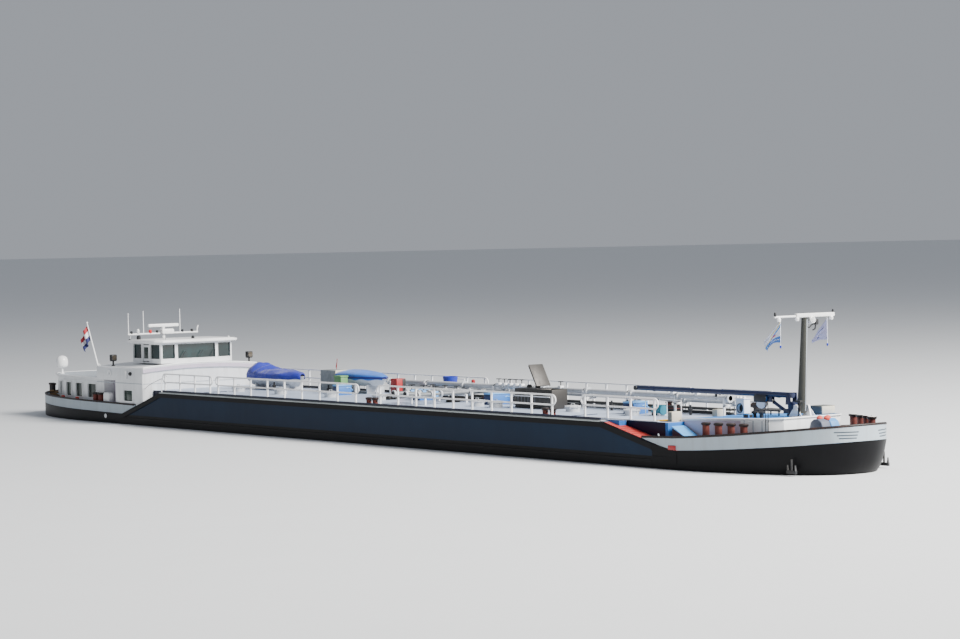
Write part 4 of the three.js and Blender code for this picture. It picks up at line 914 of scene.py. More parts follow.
def build_screw():
    screw = Shape("bronze")
    screw.turned([(0, -0.3), (0.06, -0.29), (0.12, -0.22), (0.17, 0.1), (0.17, 0.25), (0, 0.25)],
                 (PROPELLER_X, 0, SHAFT_HEIGHT), (1, 0, 0), 24)
    screw.tube([(PROPELLER_X, 0, SHAFT_HEIGHT), (-31.3, 0, SHAFT_HEIGHT)], 0.07, 16)
    radii = [0.12 + 0.53 * i / 9 for i in range(10)]
    for blade in range(4):
        turn = Matrix.Rotation(blade * math.pi / 2, 4, "X")
        rings = []
        for i, radius in enumerate(radii):
            share = i / 9
            chord = 0.2 * math.sin(math.pi * (0.25 + 0.72 * share)) ** 0.6 + 0.05
            pitch = math.radians(62 - 34 * share)
            thick = 0.03 * (1 - 0.75 * share)
            section = [(-1, 0), (-0.4, 1), (0.4, 1), (1, 0), (0.4, -1), (-0.4, -1)]
            ring = []
            for a, b in section:
                along, off = a * chord, b * thick
                ahead = along * math.cos(pitch) - off * math.sin(pitch)
                aside = along * math.sin(pitch) + off * math.cos(pitch) + 0.1 * share**2
                ring.append(Vector((PROPELLER_X, 0, SHAFT_HEIGHT))
                            + turn @ Vector((ahead, aside, radius)))
            rings.append(ring)
        screw.loft(rings)
    screw.piece("screw", "bronze", body="propeller", replaces=["propeller"])
    for word, _ in SIDES:
        leaf = Shape("hull_end")
        leaf.node(f"rudder_{word}", 0.012)
        leaf.piece(f"rudder_leaf_{word}", "hull_black", body=f"rudder_{word}",
                   replaces=[f"rudder_{word}"])
        stock = Shape("fitting_dark")
        stock.node(f"anchor_{word}", 0.015)
        stock.piece(f"anchor_cast_{word}", "hull_black", replaces=[f"anchor_{word}"])


# Bulwarks

PLATE = 0.085


def bulwark(name, plating, node, outline, foot, rail, step):
    """Plating along an outline, with a bar on top and a bracket inside at every few points."""
    shape = Shape(plating, "bollard_black")
    outer, inner = outline(0.0), outline(PLATE)
    shape.loft([[(x, y, foot(x)), (x, y, rail(x)), (xi, yi, rail(x)), (xi, yi, foot(x))]
                for (x, y), (xi, yi) in zip(outer, inner)])
    shape.bars([[((x + xi) / 2, (y + yi) / 2, rail(x)) for (x, y), (xi, yi) in zip(outer, inner)]],
               0.065, 10, finish=1)
    places, headings = [], []
    for (x, y), (xi, yi) in list(zip(outer, inner))[2:-2:step]:
        out_x, out_y = (x - xi) / 2, (y - yi) / 2
        places.append((xi + 0.4 * out_x, yi + 0.4 * out_y, foot(xi)))
        headings.append(math.atan2(-out_y, -out_x))
    bracket = Shape().prism([(0, 0), (0.26, 0), (0.04, 0.5), (0, 0.5)], "XZ", -0.02, 0.02)
    shape.copies(bracket, places, headings)
    shape.piece(name, "bulwark_grey", replaces=[node])


def build_bulwarks():
    tail, fore_height, aft_tail, aft_height = FORE_BREAK_FOOT - 2.05, 0.6, -21.05, 1.22

    def foot(x):
        return (fore_ramp(x) if x < FORE_BREAK_FOOT else fore_sheer(x)) + 0.015

    def rail(x):
        if x < FORE_BREAK_FOOT:
            share, low = (x - tail) / (FORE_BREAK_FOOT - tail), foot(tail) + 0.045
            return low + (fore_sheer(FORE_BREAK_FOOT) + fore_height - low) * share
        return fore_sheer(x) + fore_height + 0.12 * (x - FORE_BREAK_FOOT) / (HALF_LENGTH - FORE_BREAK_FOOT)

    def outline(inset):
        half = HALF_BEAM - inset
        curve = end_curve(FORE_JOINT, HALF_LENGTH - FORE_JOINT - inset, half, 0.84, 44)
        return [(tail, -half)] + curve + [(tail, half)]

    bulwark("bow_bulwark_plate", "bow_plating", "bow_bulwark", outline, foot, rail, step=3)

    def stern_foot(x):
        return (aft_ramp(x) if x > AFT_BREAK_FOOT else aft_sheer(x)) + 0.015

    def stern_rail(x):
        if x < AFT_BREAK_FOOT:
            return aft_height + 0.18 * (AFT_BREAK_FOOT - x) / (HALF_LENGTH + AFT_BREAK_FOOT)
        return aft_height - 0.02 * (x - AFT_BREAK_FOOT) / 1.6

    def stern_plan(inset):
        half = HALF_BEAM - inset
        curve = stern_outline(AFT_JOINT, inset)[1:-1]
        return [(aft_tail, -half), (AFT_BREAK_FOOT, -half), *curve, (AFT_BREAK_FOOT, half),
                (aft_tail, half)]

    bulwark("stern_bulwark_plate", "stern_plating", "stern_bulwark", stern_plan, stern_foot, stern_rail,
            step=4)


# Rails

RAIL_Y = 3.98
RAIL_LENGTHS = {
    "stbd": [(-17.5, -12.4), (-11.5, 2.6), (4.9, 19.6)],
    "port": [(-17.5, -12.4), (-11.5, 3.5), (5.8, 20.6)],
}
FORE_RAIL = (21.1, 26.3)
LOOP = 0.27


def rail_paths(start, stop, y, height):
    """Top bar with a curled loop at each end, and the middle bar between them."""
    low, top = DECK + 0.55 * height, DECK + height
    centre, reach = (top + low) / 2, (top - low) / 2
    loop = [(LOOP * math.cos(a), centre + reach * math.sin(a))
            for a in (math.radians(-90 + 18 * k) for k in range(11))]
    aft = [(start - out, y, z) for out, z in loop]
    fore = [(stop + out, y, z) for out, z in reversed(loop)]
    return [aft + fore, [(start, y, low), (stop, y, low)]]


def guard_rail(lengths, y, lift, footed):
    """Rail over some lengths of the deck, with posts that stand a little over it."""
    sizes = bpy.context.scene.tanker_rails
    paths, places = [], []
    for start, stop in lengths:
        paths += rail_paths(start, stop, y, sizes.height)
        bays = round((stop - start) / sizes.bay)
        places += [(start + (stop - start) * i / bays, y, DECK + lift) for i in range(bays + 1)]
    post = Shape().tube([(0, 0, 0), (0, 0, sizes.height - lift)], sizes.post, 10)
    if footed:
        post.stand(0, 0, 0.11, 0.055, 0.0, 0.025, bevel=0.006)
    return Shape("rail_white").bars(paths, sizes.bar, 10).copies(post, places)


def build_rails():
    for word, side in SIDES:
        y = side * RAIL_Y
        rail = guard_rail(RAIL_LENGTHS[word], y, 0.06, True)
        rail.piece(f"guard_rail_{word}", "house_white", replaces=[f"side_rail_{word}"])
        edge = Shape("trunk_navy")
        edge.box(AFT_BREAK_TOP + 0.1, FORE_BREAK_TOP - 0.1, y - 0.06, y + 0.06, DECK + 0.003, DECK + 0.12)
        edge.piece(f"deck_edge_bar_{word}", "house_white")
        y = side * (TRUNK_HALF - 0.1)
        fore = guard_rail([FORE_RAIL], y, 0.03, False)
        fore.box(21.0, 26.6, y - 0.05, y + 0.05, DECK, DECK + 0.05, bevel=0.015)
        fore.piece(f"fore_guard_rail_{word}", "house_white", replaces=[f"fore_rail_{word}"])
        slope, outer = Shape("rail_white"), y * 1.2
        slope.bars([[(AFT_BREAK_TOP + 0.2, y * 1.18, DECK + 0.95), (-19.5, outer, aft_ramp(-19.5) + 0.95),
                     (-20.9, outer, aft_ramp(-20.9) + 0.8)]], 0.025)
        post = Shape().tube([(0, 0, -0.02), (0, 0, 0.9)], 0.028, 8)
        slope.copies(post, [(x, outer, aft_ramp(x)) for x in (-18.3, -19.5, -20.6)])
        slope.piece(f"slope_handrail_{word}", "house_white")


# Bollards

BOLLARD_ROWS = [
    # node's words, places, post radius, cap radius, top, deck
    ("fore", [(29.85 + 0.74 * i, 3.08 - 0.11 * i) for i in range(4)], 0.165, 0.225, 2.19, fore_sheer),
    ("house", [(-26.4, 3.76), (-25.75, 3.76)], 0.18, 0.23, 1.78, aft_sheer),
    ("stern", [(-35.45, 2.0), (-34.9, 2.2)], 0.16, 0.21, 2.03, aft_sheer),
]
BOW_ROW = ([(34.1, 2.15), (34.75, 1.97), (35.4, 1.73), (36.1, 1.35)], 0.17, 0.23, 2.47)
SIDE_BOLLARDS = {"stbd": (3.2, 18.5), "port": (4.2, 19.5)}


def add_bollard(shape, x, y, foot, radius, height, cap):
    """One post with a broad dark cap, a white top and two short horns."""
    at = (x, y, foot)
    shape.turned([(0, 0), (radius * 1.05, 0), (radius, 0.06), (radius, height - 0.07), (0, height - 0.07)],
                 at, sides=20)
    shape.turned([(0, height - 0.12), (cap * 0.9, height - 0.12), (cap, height - 0.08),
                  (cap, height - 0.03), (cap * 0.9, height - 0.01), (0, height - 0.01)], at, sides=20,
                  finish=1)
    shape.turned([(0, height - 0.02), (cap * 0.88, height - 0.02), (cap * 0.8, height + 0.002),
                  (0, height + 0.004)], at, sides=20, finish=2)
    middle = foot + height * 0.5
    for way in (-radius, radius):
        shape.tube([(x + way * 0.8, y, middle), (x + way * 1.4, y, middle)], 0.045, 8, finish=1)


def foot_plate(shape, places, pad, deck):
    """Round-ended plates from post to post, which follow the deck."""
    for (x0, y0), (x1, y1) in zip(places, places[1:]):
        heading = math.atan2(y1 - y0, x1 - x0)
        ring = []
        for k in range(20):
            turn = heading + math.pi / 2 + math.pi * k / 9 - (math.pi / 9 if k > 9 else 0)
            x, y = (x0, y0) if k < 10 else (x1, y1)
            ring.append((x + pad * math.cos(turn), y + pad * math.sin(turn)))
        shape.loft([[(x, y, deck(x) + lift) for x, y in ring] for lift in (0.012, 0.075)])


def bollard_row(name, node, places, radius, cap, top, deck, finishes):
    row = Shape(*finishes)
    for x, y in places:
        foot = deck(x) + 0.03
        add_bollard(row, x, y, foot, radius, top - foot, cap)
    foot_plate(row, places, cap, deck)
    row.piece(name, "bollard_rust", replaces=[node])


def build_bollards():
    brown = ("bollard_brown", "bollard_black", "bollard_black")
    pale_top = ("bollard_brown", "bollard_black", "trim_white")
    dark = ("bollard_black", "bollard_black", "fitting_dark")
    for word, side in SIDES:
        for kind, places, *sizes in BOLLARD_ROWS:
            node = f"bollards_{kind}_{word}"
            bollard_row(f"mooring_{node}", node, [(x, side * y) for x, y in places], *sizes,
                        dark if kind == "stern" else brown)
        pair = Shape(*brown)
        for x in SIDE_BOLLARDS[word]:
            for step in (0, 0.6):
                add_bollard(pair, x + step, side * 3.55, DECK + 0.04, 0.14, 0.35, 0.19)
            pair.box(x - 0.22, x + 0.82, side * 3.33, side * 3.77, DECK + 0.005, DECK + 0.06)
        pair.piece(f"side_bollards_{word}", "bollard_rust")
    bollard_row("mooring_bollards_bow", "bollards_bow", *BOW_ROW, fore_sheer, pale_top)


# House and cabins

AFT_CURVE_START = -26.4
AFT_CURVE_RUN = 8.8
AFT_FULLNESS = 0.6
AFT_HALF = 3.5
AFT_ROOF = 2.68
AFT_WINDOWS = ((-32.52, 0.65), (-30.88, 0.96), (-29.2, 1.0), (-27.34, 1.14))


def aft_plan(inset, front=-25.805, steps=36):
    half = AFT_HALF - inset
    curve = end_curve(AFT_CURVE_START, -AFT_CURVE_RUN + inset, half, AFT_FULLNESS, steps)
    return [(front, -half)] + curve + [(front, half)]


def aft_wall(x):
    turn = math.asin(min(1, max(0, (AFT_CURVE_START - x) / AFT_CURVE_RUN)))
    return AFT_HALF * math.cos(turn) ** AFT_FULLNESS


def frame_ring(shape, corners, out, width, depth, finish=0):
    """Flat frame around an opening: its four corners, and the way out of the wall."""
    centre = sum(corners, Vector()) / 4
    out = out.normalized()
    outer, inner = [], []
    for corner in corners:
        step = corner - centre
        along = step / step.length
        outer.append(corner + along * width * 1.1)
        inner.append(corner - along * width * 0.35)
    rings = []
    for ring, lift in ((inner, -0.01), (outer, -0.01), (outer, depth), (inner, depth)):
        rings.append([p + out * lift for p in ring])
    rings.append(rings[0])
    shape.loft(rings, finish, closed=False)


def window(shape, plane, a0, a1, z0, z1, at, out, width, depth, finish=0):
    """Frame around an upright opening in a wall that stands at one value of the plane's third axis."""
    corners = [Vector(in_plane(plane, a, z, at)) for a, z in ((a0, z0), (a1, z0), (a1, z1), (a0, z1))]
    frame_ring(shape, corners, Vector(in_plane(plane, 0, 0, out)), width, depth, finish)


HOUSE_FRONT, HOUSE_AFT = -20.08, -25.8


def build_superstructure():
    house = Shape("house_white")
    house.node("superstructure", 0.035)
    house.piece("house_walls", "house_white", replaces=["superstructure"])
    trim = Shape("trim_white", "roof_grey", "cabin_glass", "fitting_dark", "cabin_panel")
    crown = [(y, house_roof(y)) for y in [HOUSE_HALF * (1 - k / 10) for k in range(21)]]
    trim.bars([[(HOUSE_FRONT, y, z + 0.02) for y, z in crown]], 0.045)
    for _, side in SIDES:
        trim.bars([[(x, side * HOUSE_HALF, 3.43) for x in (HOUSE_FRONT, HOUSE_AFT)]], 0.035)
        window(trim, "XZ", -22.48, -21.4, 1.4, 2.06, side * HOUSE_HALF, side, 0.06, 0.03)
        # Mark 4 is lilac painted shade on the recess walls; mark 2 is a dark pane with the shade behind it
        # painted in.
        for x0, x1, y0, y1, z0, z1, mark, bevel in (
                (HOUSE_AFT + 0.02, -20.22, HOUSE_HALF - 0.012, HOUSE_HALF + 0.012, 2.46, 2.5, 1, 0.004),
                (-22.5, -21.38, 3.92, 3.94, 1.38, 2.08, 2, 0.002),
                (-25.78, -23.52, 2.8, 2.812, 0.8, 2.6, 4, 0.002),
                (-23.512, -23.5, 2.84, 3.9, 0.8, 2.6, 4, 0.002),
                (-22.04, -21.96, 3.98, 4.1, 3.0, 3.06, 0, 0.01)):
            trim.box(x0, x1, side * y0, side * y1, z0, z1, mark, bevel)
        trim.tube([(-22.0, side * 4.1, 3.22), (-22.0, side * 4.1, 2.76)], 0.07, 12)
        trim.turned([(0, 0), (0.1, 0.0), (0.12, 0.1), (0.08, 0.16), (0, 0.17)],
                    (-21.55, side * 3.99, 3.08), (0, side, -0.3), 14, finish=3)
    # Lilac band under the roof's front edge: painted shade of the overhang.
    band = [(y, z - 0.06) for y, z in crown] + [(y, z - 0.28) for y, z in reversed(crown)]
    trim.prism(band, "YZ", HOUSE_FRONT - 0.02, HOUSE_FRONT + 0.012, finish=4)
    trim.box(HOUSE_FRONT - 0.12, HOUSE_FRONT - 0.1, -3.96, 3.96, 2.46, 2.5, finish=1, bevel=0.004)
    trim.box(HOUSE_FRONT - 0.13, HOUSE_FRONT - 0.08, -3.9, 3.9, 0.9, 0.96, finish=1, bevel=0.01)
    trim.piece("house_trim", "house_white")
    build_door("cabin_door", "cabin_door", -24.55, 1.75)
    build_door("wheelhouse_door", "bridge_door", -22.0, SILL)
    desk = Shape("fitting_dark")
    desk.node("helm_desk", 0.02)
    desk.piece("helm_console", "machine_steel", replaces=["helm_desk"])
    dress("engine_block", "steel_dark")
    cowl = Shape("trim_white")
    for _, side in SIDES:
        cowl.box(-25.3, -24.5, side * 3.52, side * 3.92, 0.62, 1.84, bevel=0.16)
    cowl.piece("deck_lockers", "house_white")


def build_door(node, body, knob_x, sill):
    """Door leaf with a framed pane and a handle."""
    low, high = span(node)
    door = Shape("house_white", "cabin_glass", "fitting_dark")
    door.node(node, 0.012)
    y, left, right, head, knob_z = low.y, low.x + 0.1, high.x - 0.1, high.z - 0.12, sill - 0.15
    window(door, "XZ", left, right, sill, head, y, -1, 0.03, 0.012)
    door.box(left, right, y - 0.005, high.y + 0.005, sill, head, finish=1, bevel=0.002)
    door.tube([(knob_x, y - 0.005, knob_z), (knob_x, y - 0.035, knob_z), (knob_x - 0.1, y - 0.035, knob_z)],
              0.012, 8, finish=2)
    door.piece(f"{node}_leaf", "house_white", body=body, replaces=[node])


def build_aft_house():
    shell = Shape("house_white", "roof_grey", "trim_white")
    shell.node("aft_house", 0.02)
    shell.prism(aft_plan(0.02), "XY", AFT_ROOF - 0.03, AFT_ROOF + 0.004, finish=1)
    shell.bars([[(x, y, AFT_ROOF - 0.03) for x, y in aft_plan(-0.07)]], 0.06, 10, finish=2)
    for word, side in SIDES:
        for x, width in AFT_WINDOWS:
            out = Vector((-(aft_wall(x + 0.3) - aft_wall(x - 0.3)) / 0.6, side, 0)).normalized()
            along = Vector((out.y, -out.x, 0)) * width / 2
            centre = Vector((x, side * aft_wall(x), 1.85)) + out * 0.012
            corners = [centre + along * a + Vector((0, 0, 0.43 * b))
                       for a, b in ((-1, -1), (1, -1), (1, 1), (-1, 1))]
            frame_ring(shell, corners, out, 0.05, 0.03, finish=2)
        handrail = [(x, side * (aft_wall(x) + 0.05), 2.42) for x in [-26.0 - 0.4 * k for k in range(16)]]
        shell.bars([handrail], 0.016, 6, finish=2)
        dress(f"aft_house_glass_{word}", "cabin_glass")
    shell.piece("aft_house_walls", "house_white", replaces=["aft_house"])
    litter = Shape("rope_red", "rope_brown", "fitting_dark")
    for x, y in ((-31.4, -3.36), (-29.0, -3.66)):
        litter.stand(x, y, 0.14, 0.08, aft_sheer(x) + 0.02, 1.42, bevel=0.05)
    for x, y, turns in ((-33.9, -2.66, 4), (-33.2, -2.86, 3), (-33.8, 2.7, 4)):
        foot = aft_sheer(x) + 0.03
        litter.turned([(0, 0), (0.24, 0), (0.26, 0.06), (0.26, 0.1 * turns), (0, 0.1 * turns)],
                      (x, y, foot), sides=20, finish=2)
        wraps = [(x + a, y + b, foot + 0.06 + 0.016 * k)
                 for k, (a, b) in enumerate(circle(0.27, 12, turns))]
        litter.bars([wraps], 0.045, finish=1)
    litter.piece("stern_gear", "bollard_rust")


BRIDGE_FRONT, BRIDGE_AFT, BRIDGE_HALF = -20.5, -23.9, 2.5
SILL, HEAD = 3.9, 4.78


def build_wheelhouse():
    walls = Shape("house_white", "trim_white", "fitting_dark")
    walls.node("wheelhouse", 0.02)
    for x, out in ((BRIDGE_FRONT, 1), (BRIDGE_AFT, -1)):
        for y0, y1 in ((-2.41, -1.5), (-1.34, 1.34), (1.5, 2.41)):
            window(walls, "YZ", y0, y1, SILL, HEAD, x, out, 0.045, 0.025, 1)
    for _, side in SIDES:
        for x0, x1 in ((-21.76, -20.6), (-23.82, -22.8)):
            window(walls, "XZ", x0, x1, SILL, HEAD, side * BRIDGE_HALF, side, 0.045, 0.025, 1)
    for y in (-1.1, 0.1, 1.0):
        walls.tube([(BRIDGE_FRONT + 0.05, y, SILL + 0.02), (BRIDGE_FRONT + 0.06, y + 0.3, SILL + 0.45)],
                   0.014, 6, finish=2)
    walls.piece("bridge_walls", "house_white", replaces=["wheelhouse"])
    dress("wheelhouse_glass", "wheel_glass")
    top = span("wheelhouse_roof")[1].z
    roof = Shape("trim_white", "fitting_dark", "lamp_glass")
    roof.node("wheelhouse_roof", 0.055)
    half = [(-23.95, -2.5), (-23.73, -2.8), (-20.62, -2.8), (-20.25, -2.45)]
    roof.prism(half + [(x, -y) for x, y in reversed(half)], "XY", top - 0.02, top + 0.03, bevel=0.02)
    for x, y, radius, height in ((-23.4, -2.35, 0.13, 0.27), (-21.4, 0.3, 0.1, 0.2)):
        roof.turned([(0, 0), (radius, 0), (radius, height * 0.7), (radius * 0.6, height), (0, height)],
                    (x, y, top), sides=14, finish=1)
    for y in (-2.2, 2.2):
        roof.turned([(0, 0), (0.06, 0), (0.06, 0.1), (0.04, 0.14), (0, 0.15)], (-20.35, y, top), sides=12,
                    finish=2)
    roof.piece("bridge_roof", "house_white", replaces=["wheelhouse_roof"])


# Aerials, lamps and flags

RADAR_X = -24.45
CROSSBAR = 5.33
CROSSBAR_LAMPS = [
    # breadth, radius, height, finish
    (-2.25, 0.08, 0.16, 2), (-1.79, 0.1, 0.28, 3), (-0.93, 0.1, 0.2, 1), (-0.44, 0.08, 0.16, 2),
    (1.36, 0.08, 0.16, 2), (2.05, 0.09, 0.16, 2),
]


def build_aerials():
    mast = Shape("trim_white", "lamp_red", "fitting_dark", "lamp_glass")
    foot = house_roof(0) + 0.005
    mast.turned([(0, 0), (0.24, 0), (0.22, 0.04), (0.12, 0.08), (0.11, CROSSBAR - foot),
                 (0, CROSSBAR - foot)], (RADAR_X, 0, foot), sides=18)
    mast.tube([(RADAR_X, -2.5, CROSSBAR), (RADAR_X, 2.46, CROSSBAR)], 0.06, 12)
    mast.box(RADAR_X - 0.28, RADAR_X + 0.28, -0.22, 0.64, CROSSBAR - 0.05, CROSSBAR + 0.27, bevel=0.08)
    mast.turned([(0, 0), (0.14, 0), (0.09, 0.06), (0.09, 0.13), (0, 0.13)], (RADAR_X, 0, CROSSBAR + 0.2),
                sides=16)
    for y, tip in ((-2.46, 6.66), (-1.4, 6.75), (1.2, 6.8)):
        mast.tube([(RADAR_X, y, CROSSBAR), (RADAR_X, y, CROSSBAR + 0.3), (RADAR_X, y, tip)],
                  [0.035, 0.028, 0.018], 8)
    mast.tube([(RADAR_X, 2.42, CROSSBAR), (RADAR_X, 2.43, 5.55), (RADAR_X, 2.5, 5.74)], 0.045, 10)
    for y, radius, height, mark in CROSSBAR_LAMPS:
        mast.turned([(0, 0), (radius, 0), (radius, height * 0.8), (radius * 0.6, height), (0, height)],
                    (RADAR_X, y, CROSSBAR + 0.04), sides=14, finish=mark)
    mast.turned([(0, 0), (0.1, 0), (0.1, 0.12), (0, 0.16)], (RADAR_X - 0.1, -2.3, CROSSBAR - 0.42),
                sides=12, finish=2)
    mast.tube([(RADAR_X - 0.1, -2.3, CROSSBAR - 0.3), (RADAR_X, -2.3, CROSSBAR)], 0.02, 6)
    mast.piece("radar_mast_tubes", "house_white", replaces=["radar_mast"])
    low, high = span("radar_scanner")
    bar = Shape("trim_white")
    bar.box(low.x, high.x, low.y, high.y, high.z - 0.2, high.z, bevel=0.06)
    bar.turned([(0, 0), (0.12, 0), (0.08, 0.06), (0, 0.06)], (RADAR_X, 0, low.z), sides=16)
    bar.piece("scanner_bar", "house_white", body="radar", replaces=["radar_scanner"])
    dome = Shape("dome_white", "trim_white")
    place = (-33.6, -2.2, AFT_ROOF)
    profile = [(0, 0.38), (0.24, 0.39), (0.33, 0.45), (0.37, 0.57), (0.385, 0.72), (0.37, 0.88),
               (0.31, 1.03), (0.2, 1.12), (0.08, 1.155), (0, 1.16)]
    dome.turned(profile, place, sides=32)
    dome.turned([(0, 0.005), (0.16, 0.005), (0.15, 0.03), (0.07, 0.05), (0.07, 0.42), (0, 0.42)], place,
                sides=18, finish=1)
    dome.piece("satellite_radome", "dome_white", replaces=["satellite_dome"])
    for word, x, y in (("stbd", -24.4, -3.6), ("port", -20.6, 3.8)):
        foot = house_roof(y) + 0.005
        lamp = Shape("fitting_dark", "lens_dark")
        lamp.turned([(0, 0), (0.12, 0), (0.12, 0.03), (0.055, 0.05), (0.055, 0.32), (0, 0.32)],
                    (x, y, foot), sides=14)
        lamp.box(x - 0.15, x + 0.17, y - 0.19, y + 0.19, foot + 0.32, foot + 0.69, bevel=0.05)
        lamp.turned([(0, 0), (0.15, 0), (0.155, 0.02), (0, 0.03)], (x + 0.165, y, foot + 0.5),
                    (1, 0, 0), 18, finish=1)
        lamp.tube([(x, y - 0.22, foot + 0.5), (x, y - 0.22, foot + 0.3), (x, y + 0.22, foot + 0.3),
                   (x, y + 0.22, foot + 0.5)], 0.02, 8)
        lamp.piece(f"searchlight_{word}_lamp", "machine_steel", replaces=[f"searchlight_{word}"])
    ring = Shape("trim_white")
    ring.bars([arc((-24.1, 3.05), 0.16, 0, 360, 20, "XZ", -4.05)], 0.035)
    ring.piece("life_ring_hook", "house_white")


def cloth_mesh(name, material, columns, rows, place, hung):
    """A grid of cloth with its UV map, from place(u, v) in ship metres. On hung cloth, v goes down."""
    down = rows + 1
    points = [TO_FRAME @ Vector(place(i / columns, j / rows)) for i in range(columns + 1)
              for j in range(down)]
    faces = [(i * down + j, (i + 1) * down + j, (i + 1) * down + j + 1, i * down + j + 1)
             for i in range(columns) for j in range(rows)]
    mesh = bpy.data.meshes.new(name)
    mesh.from_pydata(points, [], faces)
    uv = mesh.uv_layers.new(name="cloth")
    for polygon in mesh.polygons:
        polygon.use_smooth = True
        for loop in polygon.loop_indices:
            i, j = divmod(mesh.loops[loop].vertex_index, down)
            uv.data[loop].uv = (i / columns, 1 - j / rows if hung else j / rows)
    mesh.materials.append(finish(material))
    return mesh


def thicken(cloth, thickness, offset):
    modifier = cloth.modifiers.new("Thickness", "SOLIDIFY")
    modifier.thickness = thickness
    modifier.offset = offset


def hang_cloth(name, material, width, length, place, body, replaced):
    """A flag. place(s, t) gives the point at s along its length and t down its hoist."""
    mesh = cloth_mesh(name, material, 30, 16, lambda u, v: place(length * u, width * v), True)
    cloth = place_in_scene(name, mesh, body, [replaced])
    thicken(cloth, 0.0008, 0)


def fold_path(fly, across, swing, wave, steps=200):
    """Level path of unit speed that folds to and fro: a function of the length along it."""
    def at_length(s):
        point = Vector((0, 0, 0))
        pace = s / steps
        for k in range(steps):
            angle = swing * math.sin(2 * math.pi * (k + 0.5) * pace / wave)
            point += (fly * math.cos(angle) + across * math.sin(angle)) * pace
        return point
    return at_length


# The pennants hang slack: each edge is a line from the halyard to the fly end, as distances aft of
# the mast head and below it
PENNANTS = (
    # side, breadth, finish, top edge, foot edge
    ("stbd", -1.5, "pennant_cloth", ((-0.03, 0.13), (0.52, 0.62), (1.24, 1.12)),
     ((-0.03, 1.16), (0.62, 1.24), (0.92, 1.6))),
    ("port", 1.4, "lilac_cloth", ((-0.03, 0.13), (0.5, 0.6), (1.08, 1.14)),
     ((-0.03, 1.14), (0.56, 1.16), (1.02, 1.32))),
)
PENNANT_LENGTH = 1.7
PENNANT_HOIST = 1.05


def on_edge(edge, share):
    """Point at a share of a smooth curve through the three points of an edge."""
    (x0, z0), (x1, z1), (x2, z2) = edge
    a, b, c = (1 - share) * (1 - 2 * share), 4 * share * (1 - share), share * (2 * share - 1)
    return a * x0 + b * x1 + c * x2, a * z0 + b * z1 + c * z2


def build_flags():
    staff = Shape("trim_white", "fitting_dark")
    foot, head = Vector((-32.7, 0, AFT_ROOF + 0.05)), Vector((-34.2, 0, 5.82))
    staff.tube([foot, foot.lerp(head, 0.5), head], [0.06, 0.05, 0.035], 14)
    staff.turned([(0, 0), (0.06, 0.01), (0.07, 0.05), (0.04, 0.09), (0, 0.1)], head, sides=14)
    staff.box(-32.86, -32.5, -0.12, 0.12, AFT_ROOF + 0.005, AFT_ROOF + 0.1)
    staff.tube([foot + Vector((-0.02, 0, 0.5)), foot + Vector((0.45, 0, -0.02))], 0.03, 8)
    staff.piece("ensign_staff_pole", "house_white", replaces=["ensign_staff"])
    along = (foot - head).normalized()
    path = fold_path(Vector((-0.8, -0.3, 0)).normalized(), Vector((0.35, -0.94, 0)), 1.8, 0.7)

    def ensign_place(s, t):
        base = head + along * (0.2 + t) + Vector((-0.05, 0, 0))
        return base + path(s) + Vector((0, 0, (0.22 * t - 0.82) * s))

    hang_cloth("ensign_cloth", "ensign_cloth", 1.0, 1.35, ensign_place, "ship",
               "ensign")
    for word, y, material, top_edge, foot_edge in PENNANTS:

        def place(s, t, y=y, top_edge=top_edge, foot_edge=foot_edge):
            along_fly, down = s / PENNANT_LENGTH, t / PENNANT_HOIST
            x0, z0 = on_edge(top_edge, along_fly)
            x1, z1 = on_edge(foot_edge, along_fly)
            wave = along_fly * (0.05 * math.sin(9 * along_fly + 3 * down) + 0.03 * math.sin(16 * down))
            return (MAST_HEAD_X - x0 - (x1 - x0) * down, y + 0.07 * along_fly + wave,
                    MAST_TOP - z0 - (z1 - z0) * down)

        hang_cloth(f"pennant_{word}_cloth", material, PENNANT_HOIST, PENNANT_LENGTH, place, "bow_mast",
                   f"pennant_{word}")


# Cargo pipes and pump housing

PIPE_RUNS = ((1.62, 2.93, 0.13), (2.05, 2.7, 0.1))
PORTALS = (-2.0, 1.4, 7.6, 11.0, 15.2, 18.7, 22.4, 26.0)
PORTAL_BARS = [
    # half length, Y from and to, height from and to, bevel
    (0.05, 1.42, 1.52, DECK, 2.95, 0.012), (0.05, 2.12, 2.22, DECK, 2.75, 0.012),
    (0.05, 1.42, 2.22, 2.5, 2.6, 0.012), (0.11, 1.36, 1.58, DECK, DECK + 0.03, 0.006),
    (0.11, 2.06, 2.28, DECK, DECK + 0.03, 0.006),
]
CROSS_HEIGHT = 2.62
LID_HINGE = (13.87, 0, 3.17)
LID_OPEN = math.radians(-121)
VALVE_BLOCKS = (7.9, 8.4, 8.9, 9.4, 9.9, 13.2, 22.1, 23.9, 25.4)
CROSS_PIPES = (4.0, 5.1, 6.2)
PIPE_FROM, PIPE_TO = -2.3, 26.3


def flange(radius, thick=0.05, bolts=8):
    """A bolted joint on a pipe along X."""
    shape = Shape()
    shape.turned([(0, -thick), (radius * 1.6, -thick), (radius * 1.6, -0.006), (radius * 1.5, 0),
                  (radius * 1.6, 0.006), (radius * 1.6, thick), (0, thick)], (0, 0, 0), (1, 0, 0), 18)
    for y, z in circle(radius * 1.35, bolts):
        shape.tube([(-thick - 0.02, y, z), (thick + 0.02, y, z)], 0.014, 6)
    return shape


def hand_wheel(radius):
    """A spoked wheel on a short stem."""
    shape = Shape().tube([(0, 0, -0.3), (0, 0, 0.02)], 0.025, 8)
    rim = [(x, y, 0) for x, y in circle(radius, 16)]
    shape.tube(rim + rim[:1], 0.02, 6)
    for x, y in list(circle(radius, 6))[:3]:
        shape.tube([(-x, -y, 0), (x, y, 0)], 0.013, 6)
    return shape


def long_pipes(shape, places, radius, sides, finish=0):
    """Pipes that run along the deck at places given as (Y, height)."""
    shape.bars([[(PIPE_FROM, y, z), (PIPE_TO, y, z)] for y, z in places], radius, sides, finish)


